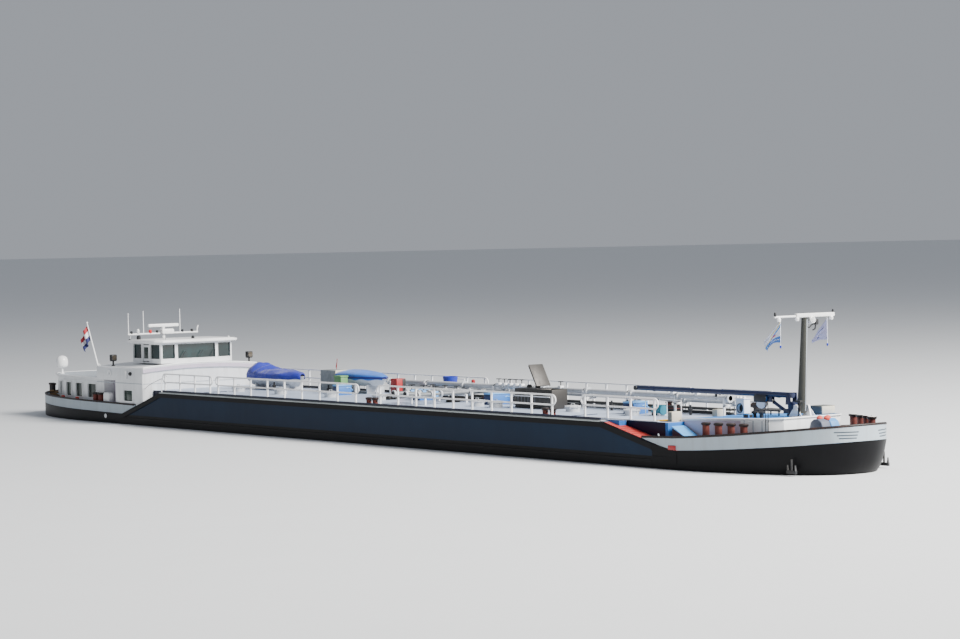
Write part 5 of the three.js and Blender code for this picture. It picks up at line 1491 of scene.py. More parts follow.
def build_pipes():
    pipes = Shape("pipe_grey", "fitting_dark", "rail_white", "box_light", "louvre", "steel_dark")
    for y, z, radius in PIPE_RUNS:
        long_pipes(pipes, [(y, z)], radius, 20)
    stations = [PIPE_FROM + 0.05] + [PIPE_FROM + 3.55 * k for k in range(1, 9)] + [PIPE_TO - 0.05]
    for y, z, radius in PIPE_RUNS:
        pipes.copies(flange(radius), [(x, y, z) for x in stations])
    for x in PORTALS:
        for half, y0, y1, z0, z1, bevel in PORTAL_BARS:
            pipes.box(x - half, x + half, y0, y1, z0, z1, finish=2, bevel=bevel)
        pipes.bars([arc((1.62, 2.93), 0.14, -10, 190, 12, "YZ", x)], 0.018, 6, finish=1)
    pipes.bars([[(x, -2.5, CROSS_HEIGHT), (x, 2.5, CROSS_HEIGHT)] for x in CROSS_PIPES], 0.12, 18, finish=4)
    # Thin dark pipes under the main runs: partly real pipes, partly painted shade that darkens the space
    # under the runs.
    long_pipes(pipes, ((1.66, 2.36), (1.86, 2.36), (2.0, 2.36)), 0.05, 8, finish=5)
    long_pipes(pipes, [(1.75, DECK + 0.1)], 0.08, 8, finish=1)
    for x in VALVE_BLOCKS:
        pipes.stand(x, 1.62, 0.12, 0.12, 2.82, 3.14, finish=2, bevel=0.03)
    pipes.copies(hand_wheel(0.13), [(x, 1.62, 3.34) for x in VALVE_BLOCKS[:6]], finish=1)
    across = flange(0.12)
    bmesh.ops.rotate(across.mesh, verts=across.mesh.verts, matrix=Matrix.Rotation(math.pi / 2, 3, "Z"))
    pipes.copies(across, [(x, y, CROSS_HEIGHT) for x in CROSS_PIPES
                          for y in (-2.47, -1.62, -1.0, 0.9, 2.47)])
    for radius, y, rise in ((0.19, -1.3, 0.42), (0.15, 0.1, 0.36)):
        pipes.copies(hand_wheel(radius), [(x, y, CROSS_HEIGHT + rise) for x in CROSS_PIPES], finish=1)
    for x in CROSS_PIPES:
        pipes.tube([(x, 1.62, CROSS_HEIGHT), (x, 1.62, 2.93)], 0.1, 14)
        pipes.stand(x, -1.3, 0.1, 0.12, CROSS_HEIGHT - 0.16, CROSS_HEIGHT + 0.16, finish=3, bevel=0.04)
        pipes.turned([(0, 0), (0.14, 0), (0.14, 0.05), (0, 0.06)], (x, -2.5, CROSS_HEIGHT), (0, -1, 0), 18,
                     finish=1)
    for y in (-2.1, 0.6):
        pipes.stand(5.1, y, 1.3, 0.05, CROSS_HEIGHT - 0.2, CROSS_HEIGHT - 0.1, finish=2, bevel=0.015)
        for x in (3.85, 5.1, 6.35):
            pipes.stand(x, y, 0.04, 0.05, DECK, CROSS_HEIGHT - 0.15, finish=2, bevel=0.012)
    pipes.piece("cargo_pipework", "house_white", replaces=["cargo_pipes"])


def build_housing():
    low, high = span("hatch_box")
    box = Shape("steel_dark", "louvre", "rail_white", "fitting_dark")
    box.node("hatch_box", 0.025)
    for x in [low.x + 0.25 + 0.28 * k for k in range(6)]:
        box.box(x, x + 0.05, low.y - 0.015, low.y + 0.01, low.z + 0.25, high.z - 0.3, finish=1, bevel=0.008)
    box.box(low.x - 0.02, high.x - 1.25, low.y - 0.03, high.y + 0.03, high.z - 0.22, high.z - 0.16)
    for x in (low.x + 0.6, low.x + 1.3):
        box.turned([(0, 0), (0.14, 0), (0.14, 0.1), (0.06, 0.16), (0, 0.16)], (x, 0, high.z), sides=16,
                   finish=3)
    box.tube([(x, low.y - 0.08, high.z - 0.4) for x in (low.x + 0.1, high.x - 0.1)], 0.03, 8, finish=2)
    box.piece("pump_housing", "machine_steel", replaces=["hatch_box"])
    lid = Shape("steel_dark", "fitting_dark")
    lid.node("hatch_lid", 0.01)
    tilt = Matrix.Translation(LID_HINGE) @ Matrix.Rotation(LID_OPEN, 4, "Y")
    for x in (0.12, 0.68, 1.24):
        lid.box(x - 0.02, x + 0.02, -0.43, 0.43, 0.02, 0.06, bevel=0.006, matrix=tilt)
    for y in (-0.42, 0.42):
        lid.box(0.08, 1.28, y - 0.02, y + 0.02, 0.02, 0.07, finish=1, bevel=0.006, matrix=tilt)
    lid.piece("housing_lid", "machine_steel", body="hatch_cover", replaces=["hatch_lid"])


# Boats and loose gear on deck

def cover_cloth(name, material, outline, crown, wrinkle, seed):
    """Tied cloth. outline(u) gives x, middle, half breadth and edge height, and crown(u) the ridge."""
    columns, rows = 56, 28

    def place(u, v):
        x, middle, half, edge = outline(u)
        across = 2 * v - 1
        y = middle + half * math.sin(across * math.pi / 2)
        z = edge + (crown(u) - edge) * max(0.0, math.cos(across * math.pi / 2)) ** 0.8
        bump = wrinkle * noise.fractal(Vector((x * 1.6 + seed, y * 2.2, z * 2.0)), 1.0, 2.0, 4)
        if abs(across) > 0.985:
            z -= 0.16 + 0.03 * math.sin(x * 6)
        return x, y + bump * 0.3 * across, z + bump * (1 - abs(across) ** 6)

    mesh = cloth_mesh(name, material, columns, rows, place, False)
    cloth = place_in_scene(name, mesh, "ship")
    thicken(cloth, 0.0012, 1)


BOAT_SECTIONS = [(0, 0.78), (0.12, 0.92), (0.25, 1), (0.5, 0.97), (0.72, 0.78), (0.88, 0.48),
                 (0.96, 0.24), (1, 0.04)]


def boat_breadth(u):
    for (u0, b0), (u1, b1) in zip(BOAT_SECTIONS, BOAT_SECTIONS[1:]):
        if u <= u1:
            t = (u - u0) / (u1 - u0)
            return b0 + (b1 - b0) * t
    return BOAT_SECTIONS[-1][1]


def boat_rings(start, stop, y, bottom, half, levels, steps=26):
    rings = []
    for height, breadth, reach in levels:
        starboard = [(start + (stop - start) * k / steps * reach,
                      y - half * boat_breadth(k / steps) * breadth, bottom + height)
                      for k in range(steps + 1)]
        rings.append(starboard + [(x, 2 * y - at, z) for x, at, z in reversed(starboard)])
    return rings


def boat_shell(finishes, start, stop, y, bottom, half, levels):
    boat = Shape(*finishes)
    return boat.loft(through(boat_rings(start, stop, y, bottom, half, levels), 3), paired=True)


def add_cradle(boat, y, chocks, top):
    """Two chocks on a runner under a boat."""
    for x in chocks:
        boat.stand(x, y, 0.06, 0.6, DECK, top, finish=2)
    boat.box(chocks[0] - 0.15, chocks[1] + 0.15, y - 0.05, y + 0.05, DECK, DECK + 0.1, finish=2)


def build_boats():
    build_workboat()
    build_skiff()


def build_workboat():
    start, stop, y, bottom, half = -16.5, -11.4, 1.8, 2.3, 1.0
    levels = [(0, 0.35, 0.9), (0.3, 0.85, 0.95), (0.55, 0.98, 0.99), (0.62, 1.0, 1.0)]
    boat = boat_shell(("boat_hull", "rubber", "pipe_grey"), start, stop, y, bottom, half, levels)
    add_cradle(boat, y, (-15.75, -12.55), bottom + 0.12)
    boat.piece("workboat_hull", "cover_blue", replaces=["covered_boat"])

    def outline(u):
        u = 0.02 + 0.96 * u
        return start + (stop - start) * u, y, half * boat_breadth(u) * 1.02, bottom + 0.6

    def crown(u):
        hump = 0.46 * math.exp(-((u - 0.09) / 0.085) ** 4)
        shoulder = 0.22 * math.exp(-((u - 0.25) / 0.05) ** 2)
        return bottom + 0.72 + 0.26 * math.sin(math.pi * min(1, u * 0.95 + 0.04)) ** 0.6 + hump + shoulder

    cover_cloth("workboat_cover", "cover_ultramarine", outline, crown,
                0.07, 3.0)


def build_skiff():
    start, stop, y, bottom, half = -8.3, -4.0, 2.6, 2.5, 0.85
    levels = [(0, 0.35, 0.9), (0.25, 0.85, 0.95), (0.45, 0.99, 0.99), (0.5, 1.0, 1.0)]
    skiff = boat_shell(("boat_hull", "gunwale", "pipe_grey"), start, stop, y, bottom, half, levels)
    rim = boat_rings(start, stop, y, bottom, half * 1.01, levels[-1:])[0]
    skiff.bars([rim + [rim[0]]], 0.055, 10, finish=1)
    add_cradle(skiff, y, (-7.65, -5.15), bottom + 0.1)
    skiff.piece("skiff_hull", "cover_azure", replaces=["ship_boat"])

    def outline(u):
        u = 0.015 + 0.95 * u
        return start + (stop - start) * u, y, half * boat_breadth(u), bottom + 0.54

    def crown(u):
        return bottom + 0.56 + 0.34 * math.sin(math.pi * min(1.0, 0.12 + 0.88 * u) ** 0.8) ** 0.7

    cover_cloth("skiff_cover", "cover_azure", outline, crown, 0.015, 8.0)


def build_deck_gear():
    for node in ("deck_box_aft", "deck_box_mid", "deck_box_fore", "deck_box_bow"):
        build_deck_box(node)
    build_cabinet()
    build_crate()
    build_loose_gear()
    build_hatches()


def build_deck_box(node):
    """Box with a pale lid, a paler front and a bowed handle. The navy of its body is painted shade, the
    shaded side of the box's blue.
    """
    low, high = span(node)
    case, rim = Shape("box_navy", "box_light", "bulkhead_blue"), high.z - 0.1
    case.box(low.x, high.x - 0.03, low.y, high.y, low.z, rim)
    case.box(high.x - 0.04, high.x, low.y + 0.01, high.y - 0.01, low.z, rim, finish=2, bevel=0.012)
    case.box(low.x - 0.02, high.x, low.y - 0.02, high.y + 0.02, rim + 0.01, high.z, finish=1, bevel=0.03)
    case.bars([arc((high.y - 0.25, low.z + 0.05), 0.36, 20, 110, 8, "YZ", high.x)], 0.03, finish=1)
    case.piece(f"{node}_case", "box_blue", replaces=[node])


def build_cabinet():
    low, high = span("red_cabinet")
    cabinet = Shape("red_paint", "fitting_dark")
    cabinet.box(low.x, high.x, low.y, high.y, low.z + 0.08, high.z, bevel=0.03)
    cabinet.box(low.x + 0.04, high.x - 0.04, low.y + 0.04, high.y - 0.04, low.z, low.z + 0.1,
                finish=1, bevel=0.01)
    cabinet.box(low.x - 0.01, high.x + 0.01, high.y - 0.22, high.y + 0.01, low.z + 0.1, high.z - 0.02,
                finish=1)
    cabinet.tube([(high.x + 0.02, low.y + 0.1, low.z + rise) for rise in (0.5, 0.7)], 0.015, 8, finish=1)
    cabinet.piece("hose_cabinet", "bollard_rust", replaces=["red_cabinet"])


def build_crate():
    """Slatted crate with a small flag on a stick."""
    low, high = span("deck_crate")
    crate = Shape("crate_grey", "beige", "rail_white", "red_paint")
    crate.box(low.x, high.x - 0.08, low.y, high.y, low.z, high.z, bevel=0.03)
    crate.box(high.x - 0.08, high.x, low.y, high.y, low.z, high.z, finish=1)
    for z in (low.z + 0.3, low.z + 0.62, low.z + 0.94):
        crate.box(low.x - 0.015, high.x - 0.1, low.y - 0.015, low.y + 0.01, z, z + 0.06, bevel=0.008)
    x, y = low.x + 0.5, high.y - 0.1
    crate.tube([(x, y, high.z - 0.05), (x + 0.1, y, high.z + 0.62)], 0.02, 8, finish=3)
    crate.prism([(x + 0.1, high.z + 0.6), (x - 0.08, high.z + 0.1), (x + 0.04, high.z + 0.12)],
                "XZ", y - 0.005, y + 0.005, finish=3)
    crate.piece("stores_crate", "machine_steel", replaces=["deck_crate"])


def build_loose_gear():
    """Bin, tub on a bench, tyres, lamp post, boxes, drum in a cage, fenders and a gate."""
    gear = Shape("bin_green", "tub_blue", "beige", "mat_yellow", "drum_teal", "rubber", "rail_white",
                 "fitting_dark", "box_shade", "red_paint")
    gear.box(-6.9, -6.2, 0.95, 1.45, DECK + 0.1, DECK + 0.98, bevel=0.05)
    gear.box(-6.93, -6.17, 0.92, 1.48, DECK + 0.95, DECK + 1.06, bevel=0.04)
    for x in (-6.75, -6.35):
        gear.turned([(0, -0.26), (0.11, -0.26), (0.11, 0.26), (0, 0.26)], (x, 1.2, DECK + 0.12),
                    (0, 1, 0), 14, finish=5)
    gear.turned([(0, 0), (0.36, 0), (0.42, 0.46), (0.38, 0.47), (0.32, 0.06), (0, 0.05)],
                (2.3, 2.5, DECK + 0.73), sides=22, finish=1)
    gear.box(1.5, 2.75, 2.15, 2.85, DECK + 0.5, DECK + 0.72, finish=7, bevel=0.05)
    for x in (1.6, 2.65):
        gear.stand(x, 2.5, 0.04, 0.3, DECK, DECK + 0.52, finish=7, bevel=0.01)
    gear.turned([(0, 0), (0.52, 0), (0.47, 0.16), (0.3, 0.24), (0, 0.27)], (4.7, 1.3, DECK),
                sides=18, finish=5)
    gear.turned([(0, 0), (0.4, 0), (0.36, 0.12), (0, 0.2)], (5.4, 0.4, DECK), sides=18, finish=5)
    gear.turned([(0, 0), (0.1, 0.01), (0.11, 0.2), (0.05, 0.26), (0, 0.26)], (3.74, 3.0, DECK + 0.78),
                sides=12, finish=9)
    gear.tube([(3.74, 3.0, DECK), (3.74, 3.0, DECK + 0.8)], 0.025, 8, finish=7)
    gear.box(26.86, 27.15, -2.8, -2.2, DECK, DECK + 0.47, finish=2, bevel=0.03)
    # Dark grey sheet on the beige box's starboard face: painted shade.
    gear.box(26.86, 27.13, -2.82, -2.78, DECK + 0.02, DECK + 0.45, finish=8, bevel=0.01)
    gear.box(26.0, 26.7, -2.8, -2.2, DECK, DECK + 0.05, finish=3)
    roof = foredeck_top(27.4)
    gear.box(27.25, 27.6, -0.4, 0.0, roof, roof + 0.35, finish=2, bevel=0.03)
    gear.turned([(0, 0), (0.24, 0), (0.25, 0.04), (0.24, 0.34), (0.25, 0.38), (0.24, 0.7), (0, 0.72)],
                (22.7, -0.1, DECK + 0.27), (1, 0, 0), 22, finish=4)
    for x in (22.8, 23.25):
        gear.stand(x, -0.1, 0.05, 0.25, DECK, DECK + 0.14, finish=7, bevel=0.01)
    gear.bars([[(22.5, y, DECK), (22.5, y, DECK + 0.75), (24.1, y, DECK + 0.72), (24.1, y, DECK)]
               for y in (-0.5, 0.4)], 0.022, finish=6)
    for x, y, length in ((0.2, -0.6, 1.2), (1.0, 1.0, 1.4)):
        fender = [(0, 0), (0.09, 0.02), (0.11, 0.1), (0.11, length - 0.1), (0.09, length - 0.02),
                  (0, length)]
        for k in range(4):
            gear.turned(fender, (x - length / 2, y + 0.2 * k, DECK + 0.11 + 0.05 * (k % 2)),
                        (1, 0.1, 0), 12, finish=5)
    gear.bars([[(1.0, 3.3, DECK), (1.0, 3.3, DECK + 1.05), (2.5, 3.3, DECK + 1.0), (2.5, 3.3, DECK)]],
              0.035, finish=6)
    gear.piece("loose_gear", "box_blue")


def build_hatches():
    """Low tank hatches with dogs, and small valves between them."""
    lid = Shape()
    lid.turned([(0, 0), (0.36, 0), (0.36, 0.22), (0.4, 0.23), (0.4, 0.28), (0.3, 0.33), (0, 0.35)],
               (0, 0, 0), sides=24)
    for x, y in circle(0.39, 6):
        lid.tube([(x, y, 0.18), (x, y, 0.33)], 0.022, 6)
    lid.tube([(-0.12, 0, 0.34), (-0.12, 0, 0.42), (0.12, 0, 0.42), (0.12, 0, 0.34)], 0.018, 6)
    hatches = Shape("pipe_grey", "fitting_dark", "rail_white")
    hatches.copies(lid, [(x, -0.95, DECK) for x in (-14.2, -9.6, -4.4, 0.4, 9.4, 11.0, 17.4, 22.0)])
    valve = Shape()
    valve.turned([(0, 0), (0.07, 0), (0.07, 0.2), (0.12, 0.22), (0.12, 0.3), (0.05, 0.34), (0.05, 0.5),
                  (0, 0.5)], (0, 0, 0), sides=12)
    rows = [(x, 2.55, DECK + 0.4) for x in (7.2, 7.6, 8.0, 8.4, 9.4)]
    rows += [(x, 0.9, DECK) for x in (-13.2, -7.4, -0.6, 10.2, 18.2, 19.4, 24.2)]
    hatches.copies(valve, rows, finish=1)
    hatches.box(6.9, 9.8, 2.4, 2.7, DECK + 0.3, DECK + 0.42, finish=2, bevel=0.03)
    for x in (7.0, 9.7):
        hatches.stand(x, 2.55, 0.05, 0.1, DECK, DECK + 0.32, finish=2, bevel=0.01)
    hatches.piece("tank_hatches", "house_white")


# Foredeck

FOREHOUSE_FRONT = 33.65
FOREHOUSE_HALF = 2.25


def house_ring(inset, lift):
    """Outline of the foredeck house at its sloping roof."""
    front, half = FOREHOUSE_FRONT - inset, FOREHOUSE_HALF - inset
    starboard = [(27.22 + inset, -half), (front - 0.5, -half), (front, 0.5 - half)]
    plan = starboard + [(x, -y) for x, y in reversed(starboard)]
    return [(x, y, foredeck_top(x) + lift) for x, y in plan]


def build_foredeck():
    house = Shape("house_white", "roof_blue", "trim_white", "cabin_panel", "box_shade", "beige",
                  "roof_grey")
    house.node("foredeck_house", 0.02)
    house.loft([house_ring(0.04, -0.02), house_ring(0.04, 0.012)], finish=1)
    house.bars([house_ring(-0.01, 0.0)], 0.045, finish=2)
    for _, side in SIDES:
        # Lilac sheet on each side wall: painted shade on the white house.
        house.prism([(27.3, 1.0), (31.3, 1.15), (31.3, foredeck_top(31.3) - 0.07),
                     (27.3, foredeck_top(27.3) - 0.07)], "XZ", side * 2.25, side * 2.262, finish=3)
        for x in (31.55, 32.15, 32.75):
            house.box(x - 0.02, x + 0.02, side * 2.25 - 0.03, side * 2.25 + 0.03, 1.3, 2.3, finish=6,
                      bevel=0.01)
    # The box's dark grey body is painted shade, and its beige front is the lit side.
    house.box(32.17, 32.93, 1.27, 2.13, foredeck_top(32.9) + 0.02, 2.82, finish=4, bevel=0.03)
    house.box(32.91, 32.945, 1.3, 2.1, foredeck_top(32.9) + 0.05, 2.8, finish=5, bevel=0.008)
    house.piece("foredeck_house_walls", "house_white", replaces=["foredeck_house"])
    lid = Shape("bright_blue", "trunk_navy")
    for _, side in SIDES:
        lid.prism([(27.52, 1.86), (28.62, 1.36), (28.64, 1.4), (27.54, 1.92)], "XZ", side * 2.36,
                  side * 3.18, bevel=0.008)
        for middle in (2.42, 3.12):
            y = side * middle
            lid.prism([(27.55, fore_ramp(27.55) - 0.05), (28.5, 0.85), (28.56, 1.37), (27.55, 1.84)],
                      "XZ", y - 0.03, y + 0.03, finish=1)
    lid.piece("fore_stair_lids", "box_blue")
    vents = Shape("house_white", "fitting_dark", "trim_white", "bollard_black", "pipe_grey")
    low, high = span("vent_house")
    middle = (27.75, low.y, 2.55)
    vents.node("vent_house", 0.02)
    vents.turned([(0, 0.16), (0.195, 0.16), (0.195, 0.19), (0, 0.19)], middle, (0, 1, 0), 22, finish=1)
    vents.bars([arc((27.75, 2.55), 0.21, 0, 360, 24, "XZ", low.y - 0.005)], 0.022, finish=1)
    vents.box(low.x - 0.04, high.x + 0.04, low.y - 0.04, high.y + 0.04, high.z - 0.02, high.z + 0.03,
              finish=2, bevel=0.012)
    for x in (low.x + 0.05, low.x + 0.25, high.x - 0.08):
        vents.box(x - 0.06, x + 0.06, low.y + 0.03, low.y + 0.17, high.z + 0.02, high.z + 0.1, finish=2)
    vents.turned([(0, 0), (0.13, 0), (0.13, 0.34), (0.3, 0.4), (0.32, 0.5), (0.2, 0.6), (0, 0.62)],
                 (26.8, 2.8, DECK), sides=22, finish=3)
    z = foredeck_top(28.3)
    vents.box(28.18, 28.42, 1.7, 1.9, z, z + 0.3, finish=3)
    vents.turned([(0, 0), (0.27, 0), (0.27, 0.16), (0.2, 0.17), (0.19, 0.06), (0, 0.06)],
                 (28.34, 1.8, z + 0.52), (0.5, -0.86, 0), 24, finish=3)
    vents.turned([(0.19, 0.15), (0.235, 0.15), (0.235, 0.18), (0.19, 0.18)], (28.34, 1.8, z + 0.52),
                 (0.5, -0.86, 0), 24, finish=4)
    vents.piece("fore_vents", "house_white", replaces=["vent_house"])
    build_foredeck_rack()
    build_windlass()


def build_foredeck_rack():
    rack = Shape("fitting_dark", "rail_white", "trim_white", "hood_blue")
    slat = Shape().stand(0, 0, 0.02, 0.5, 0, 0.03, bevel=0.005)
    rack.copies(slat, [(29.6 + 0.12 * k, 0.7, foredeck_top(29.8) + 0.3) for k in range(14)])
    rails, deck = (0.22, 1.18), foredeck_top(30)
    for y in rails:
        rack.box(29.5, 31.3, y - 0.025, y + 0.025, deck + 0.25, deck + 0.31, bevel=0.01)
    for x in (29.6, 31.2):
        for y in rails:
            rack.stand(x, y, 0.03, 0.03, foredeck_top(x), foredeck_top(x) + 0.3, bevel=0.008)
    for x, y in ((31.1, -1.2), (31.45, -1.1), (31.8, -1.4)):
        rack.turned([(0, 0), (0.09, 0), (0.09, 0.2), (0.15, 0.22), (0.15, 0.3), (0.06, 0.34), (0, 0.34)],
                    (x, y, foredeck_top(x)), sides=16)
    z = foredeck_top(31.2)
    rack.box(30.9, 31.3, -1.75, -1.45, z, z + 0.22, finish=3, bevel=0.04)
    rack.bars([[(x, -2.36, fore_sheer(x) + 0.05), (x, -2.36, 3.2)] for x in (33.1, 33.28)], 0.018, 6)
    rack.piece("foredeck_fittings", "machine_steel")


def build_windlass():
    """Two drums under cloth hoods, with rolled fenders on top."""
    low, high = span("windlass")
    winch = Shape("bollard_brown", "hood_grey", "hood_blue", "rope_red", "fitting_dark")
    winch.node("windlass", 0.015)
    for y0, y1, mark in ((-0.65, -0.11, 1), (-0.09, 0.45, 2)):
        section = [(-0.47, 0.02), (-0.46, 0.6), (-0.36, 0.88), (-0.18, 1.0), (0.12, 1.02), (0.33, 0.9),
                   (0.45, 0.62), (0.47, 0.02)]
        winch.prism([(34.57 + a, low.z + 0.06 + b) for a, b in section], "XZ", y0, y1, finish=mark,
                    bevel=0.05)
    for x, y in ((34.45, -0.3), (34.7, -0.1), (34.5, 0.15)):
        winch.turned([(0, 0), (0.14, 0.02), (0.15, 0.1), (0.09, 0.2), (0, 0.22)], (x, y, high.z + 0.02),
                     sides=14, finish=3)
    winch.piece("anchor_winch", "bollard_rust", replaces=["windlass"])


# Crane and mast

COLUMN_X = 32.3
PIVOT = Vector((COLUMN_X, 0, 3.36))
BOOM_TIP = 21.2
CYLINDER_FOOT = Vector((31.96, 0, 2.6))
CYLINDER_HEAD = Vector((30.95, 0, 3.08))


def build_crane():
    low, _ = span("crane_column")
    column = Shape("boom_navy", "fitting_dark")
    column.node("crane_column", 0.015)
    for a, b in circle(0.208, 8):
        column.turned([(0, 0), (0.022, 0), (0.022, 0.03), (0, 0.032)], (COLUMN_X + a, b, low.z + 0.075),
                      sides=6, finish=1)
    column.piece("crane_post", "crane_navy", body="crane", replaces=["crane_column"])
    boom = Shape("boom_navy", "fitting_dark", "trim_white", "box_front", "steel_bright")
    x, z = PIVOT.x, PIVOT.z
    boom.tube([(x + 0.1, 0, z), (x - 2, 0, z), (BOOM_TIP + 0.6, 0, z), (BOOM_TIP, 0, z)],
              [0.13, 0.13, 0.112, 0.11], 28)
    for station in (22.6, 25.4, 27.6, 30.1):
        boom.turned([(0, -0.04), (0.136, -0.04), (0.136, 0.04), (0, 0.04)], (station, 0, z), (1, 0, 0), 28)
    boom.tube([(x, -0.17, z), (x, 0.17, z)], 0.09, 18)
    for start, stop in ((21.3, 25.3), (27.5, 31.0)):
        boom.tube([(start, 0.0, z + 0.14), (stop, 0.0, z + 0.14)], 0.03, 8, finish=2)
    boom.box(x - 2.35, x - 1.55, -0.2, -0.165, z - 0.38, z - 0.05, finish=1, bevel=0.012)
    boom.box(x - 2.35, x - 1.55, 0.165, 0.2, z - 0.38, z - 0.05, finish=1, bevel=0.012)
    boom.box(x - 2.35, x - 2.2, -0.19, 0.19, z - 0.3, z - 0.05)
    boom.turned([(0, -0.16), (0.15, -0.16), (0.15, -0.13), (0.1, -0.12), (0.1, 0.12), (0.15, 0.13),
                 (0.15, 0.16), (0, 0.16)], (x - 1.95, 0, z - 0.22), (0, 1, 0), 24, finish=3)
    wraps = [(x - 1.95 + 0.112 * math.cos(a), -0.11 + 0.22 * k / 120, z - 0.22 + 0.112 * math.sin(a))
             for k, a in enumerate(2 * math.pi * k / 12 for k in range(121))]
    boom.bars([wraps], 0.013, 6, finish=4)
    for y in (-0.0825, 0.0825):
        boom.box(x - 1.47, x - 1.23, y - 0.0175, y + 0.0175, z - 0.36, z - 0.05, bevel=0.01)
    boom.turned([(0, -0.16), (0.115, -0.16), (0.115, -0.05), (0.09, -0.04), (0.09, 0.04), (0.115, 0.05),
                 (0.115, 0.16), (0, 0.16)], (BOOM_TIP + 0.1, 0, z), (0, 1, 0), 24, finish=1)
    boom.tube([(x - 1.6, 0.18, z - 0.1), (x - 1.0, 0.16, z - 0.15), (x - 0.45, 0.13, z - 0.06)], 0.022,
              8, finish=1)
    boom.piece("crane_boom_tube", "crane_navy", body="boom", replaces=["crane_boom"])
    foot, head = CYLINDER_FOOT, CYLINDER_HEAD
    barrel = Shape("boom_navy", "fitting_dark")
    barrel.node("crane_cylinder", 0.006)
    barrel.turned([(0.055, -0.03), (0.092, -0.03), (0.092, 0.03), (0.055, 0.03)], foot.lerp(head, 0.82),
                  head - foot, 20, finish=1)
    barrel.piece("luffing_barrel", "crane_navy", body="luff_cylinder", replaces=["crane_cylinder"])
    rod = Shape("steel_bright")
    rod.tube([foot.lerp(head, 0.18), foot.lerp(head, 0.97)], 0.04, 18)
    rod.turned([(0, -0.055), (0.065, -0.055), (0.065, 0.055), (0, 0.055)], foot.lerp(head, 0.985),
               (0, 1, 0), 18)
    rod.piece("luffing_rod", "machine_steel", body="luff_rod", replaces=["crane_rod"])


def build_mast():
    x, top, hinge = MAST_HEAD_X, MAST_TOP, 2.8
    foot = foredeck_top(MAST_X) + 0.17
    mast = Shape("mast_olive", "trim_white", "fitting_dark", "lamp_glass", "roof_grey", "tub_blue")
    mast.tube([(MAST_X, 0, foot), (MAST_X + 0.1, 0, foot + 1.4), (x, 0, top - 0.08)],
              [0.21, 0.19, 0.14], 28)
    mast.tube([(MAST_X + 0.2, 0.05, foot + 0.1), (x + 0.12, 0.03, top - 0.15)], 0.03, 8, finish=4)
    mast.tube([(MAST_X, -0.28, hinge), (MAST_X, 0.28, hinge)], 0.08, 18)
    mast.tube([(x, -1.85, top), (x, 1.85, top)], 0.05, 12, finish=1)
    mast.box(x - 0.1, x + 0.1, -0.55, 1.8, top - 0.06, top + 0.12, finish=1, bevel=0.03)
    mast.turned([(0, -0.01), (0.145, 0), (0.17, 0.06), (0.16, 0.26), (0.08, 0.3), (0, 0.3)],
                (x - 0.05, 0.34, top - 0.22), (1, 0, 0.2), 20, finish=1)
    mast.turned([(0, 0), (0.12, 0), (0, 0.02)], (x + 0.245, 0.34, top - 0.155), (1, 0, 0.2), 20, finish=3)
    mast.box(x - 0.1, x + 0.14, 0.56, 0.76, top - 0.42, top - 0.16, finish=2, bevel=0.04)
    mast.tube([(x, 0.66, top - 0.2), (x - 0.05, 0.5, top - 0.42), (x - 0.02, 0.3, top - 0.54),
               (x, 0.15, top - 0.5)], 0.03, 8, finish=2)
    mast.tube([(x + 0.1, 0.6, top - 0.4), (x + 0.1, 0.55, top - 0.6), (x + 0.05, 0.44, top - 0.66)],
              0.035, 8, finish=2)
    for y in (-1.62, -0.5, 1.62):
        mast.turned([(0, -0.2), (0.08, -0.18), (0.1, -0.07), (0.05, 0.02), (0, 0.02)],
                    (x + 0.05, y, top - 0.03), sides=14, finish=1)
    for y, tip in ((-1.8, 0.2), (1.78, 0.24)):
        mast.turned([(0, 0), (0.055, 0), (0.055, tip * 0.7), (0.03, tip), (0, tip)], (x, y, top + 0.02),
                    sides=12, finish=2)
    for y in (-1.5, 1.4):
        mast.tube([(x + 0.035, y - 0.03, top - 0.04), (x + 0.035, y - 0.03, top - 1.3)], 0.009, 6, finish=1)
        mast.turned([(0, 0), (0.03, 0.01), (0.055, 0.1), (0.02, 0.13), (0, 0.13)],
                    (x + 0.035, y - 0.03, top - 1.42), sides=10, finish=5)
    mast.piece("mast_tubes", "mast_olive", body="bow_mast", replaces=["mast"])
    stand = Shape("trim_white", "fitting_dark", "rubber")
    z = foredeck_top(MAST_X)
    for side in (-1, 1):
        stand.prism([(MAST_X - 0.42, z + 0.02), (MAST_X + 0.5, z + 0.02), (MAST_X + 0.2, z + 0.34),
                     (MAST_X - 0.16, z + 0.34)], "XZ", side * 0.4, side * 0.43, bevel=0.008)
    for k in range(3):
        stand.tube([(MAST_X + 0.36 + 0.05 * k, -0.52 + 0.02 * k, z + 0.7 - 0.1 * k),
                    (MAST_X + 0.42 + 0.05 * k, -0.56, z + 0.4), (MAST_X + 0.5, -0.62, z + 0.18),
                    (MAST_X + 0.46, -0.7, z + 0.03)], 0.022, 8, finish=2)
    stand.tube([(MAST_X + 0.36, -0.52, z), (MAST_X + 0.36, -0.52, z + 0.76)], 0.03, 8, finish=1)
    stand.box(MAST_X + 0.2, MAST_X + 0.56, -0.6, -0.44, z + 0.68, z + 0.78, finish=1)
    stand.piece("mast_foot_gussets", "house_white")


# Stage

FLOOR_HEIGHT = DRAUGHT * SCALE
FLOOR_RADIUS = 220
KEY_DIRECTION = (0.74, 0.3, 0.62)
KEY_DISTANCE = 16
CAMERA_PLACE = (12.66, -8.77, 1.272)
CAMERA_COURSE = math.radians(36.6)
CAMERA_PITCH = math.radians(1.70)
CAMERA_ROLL = math.radians(1.19)


def build_stage():
    stage = bpy.context.scene.tanker_stage
    build_floor(stage.floor)
    light_scene(stage.fill, stage.key)
    aim_camera(stage.lens)


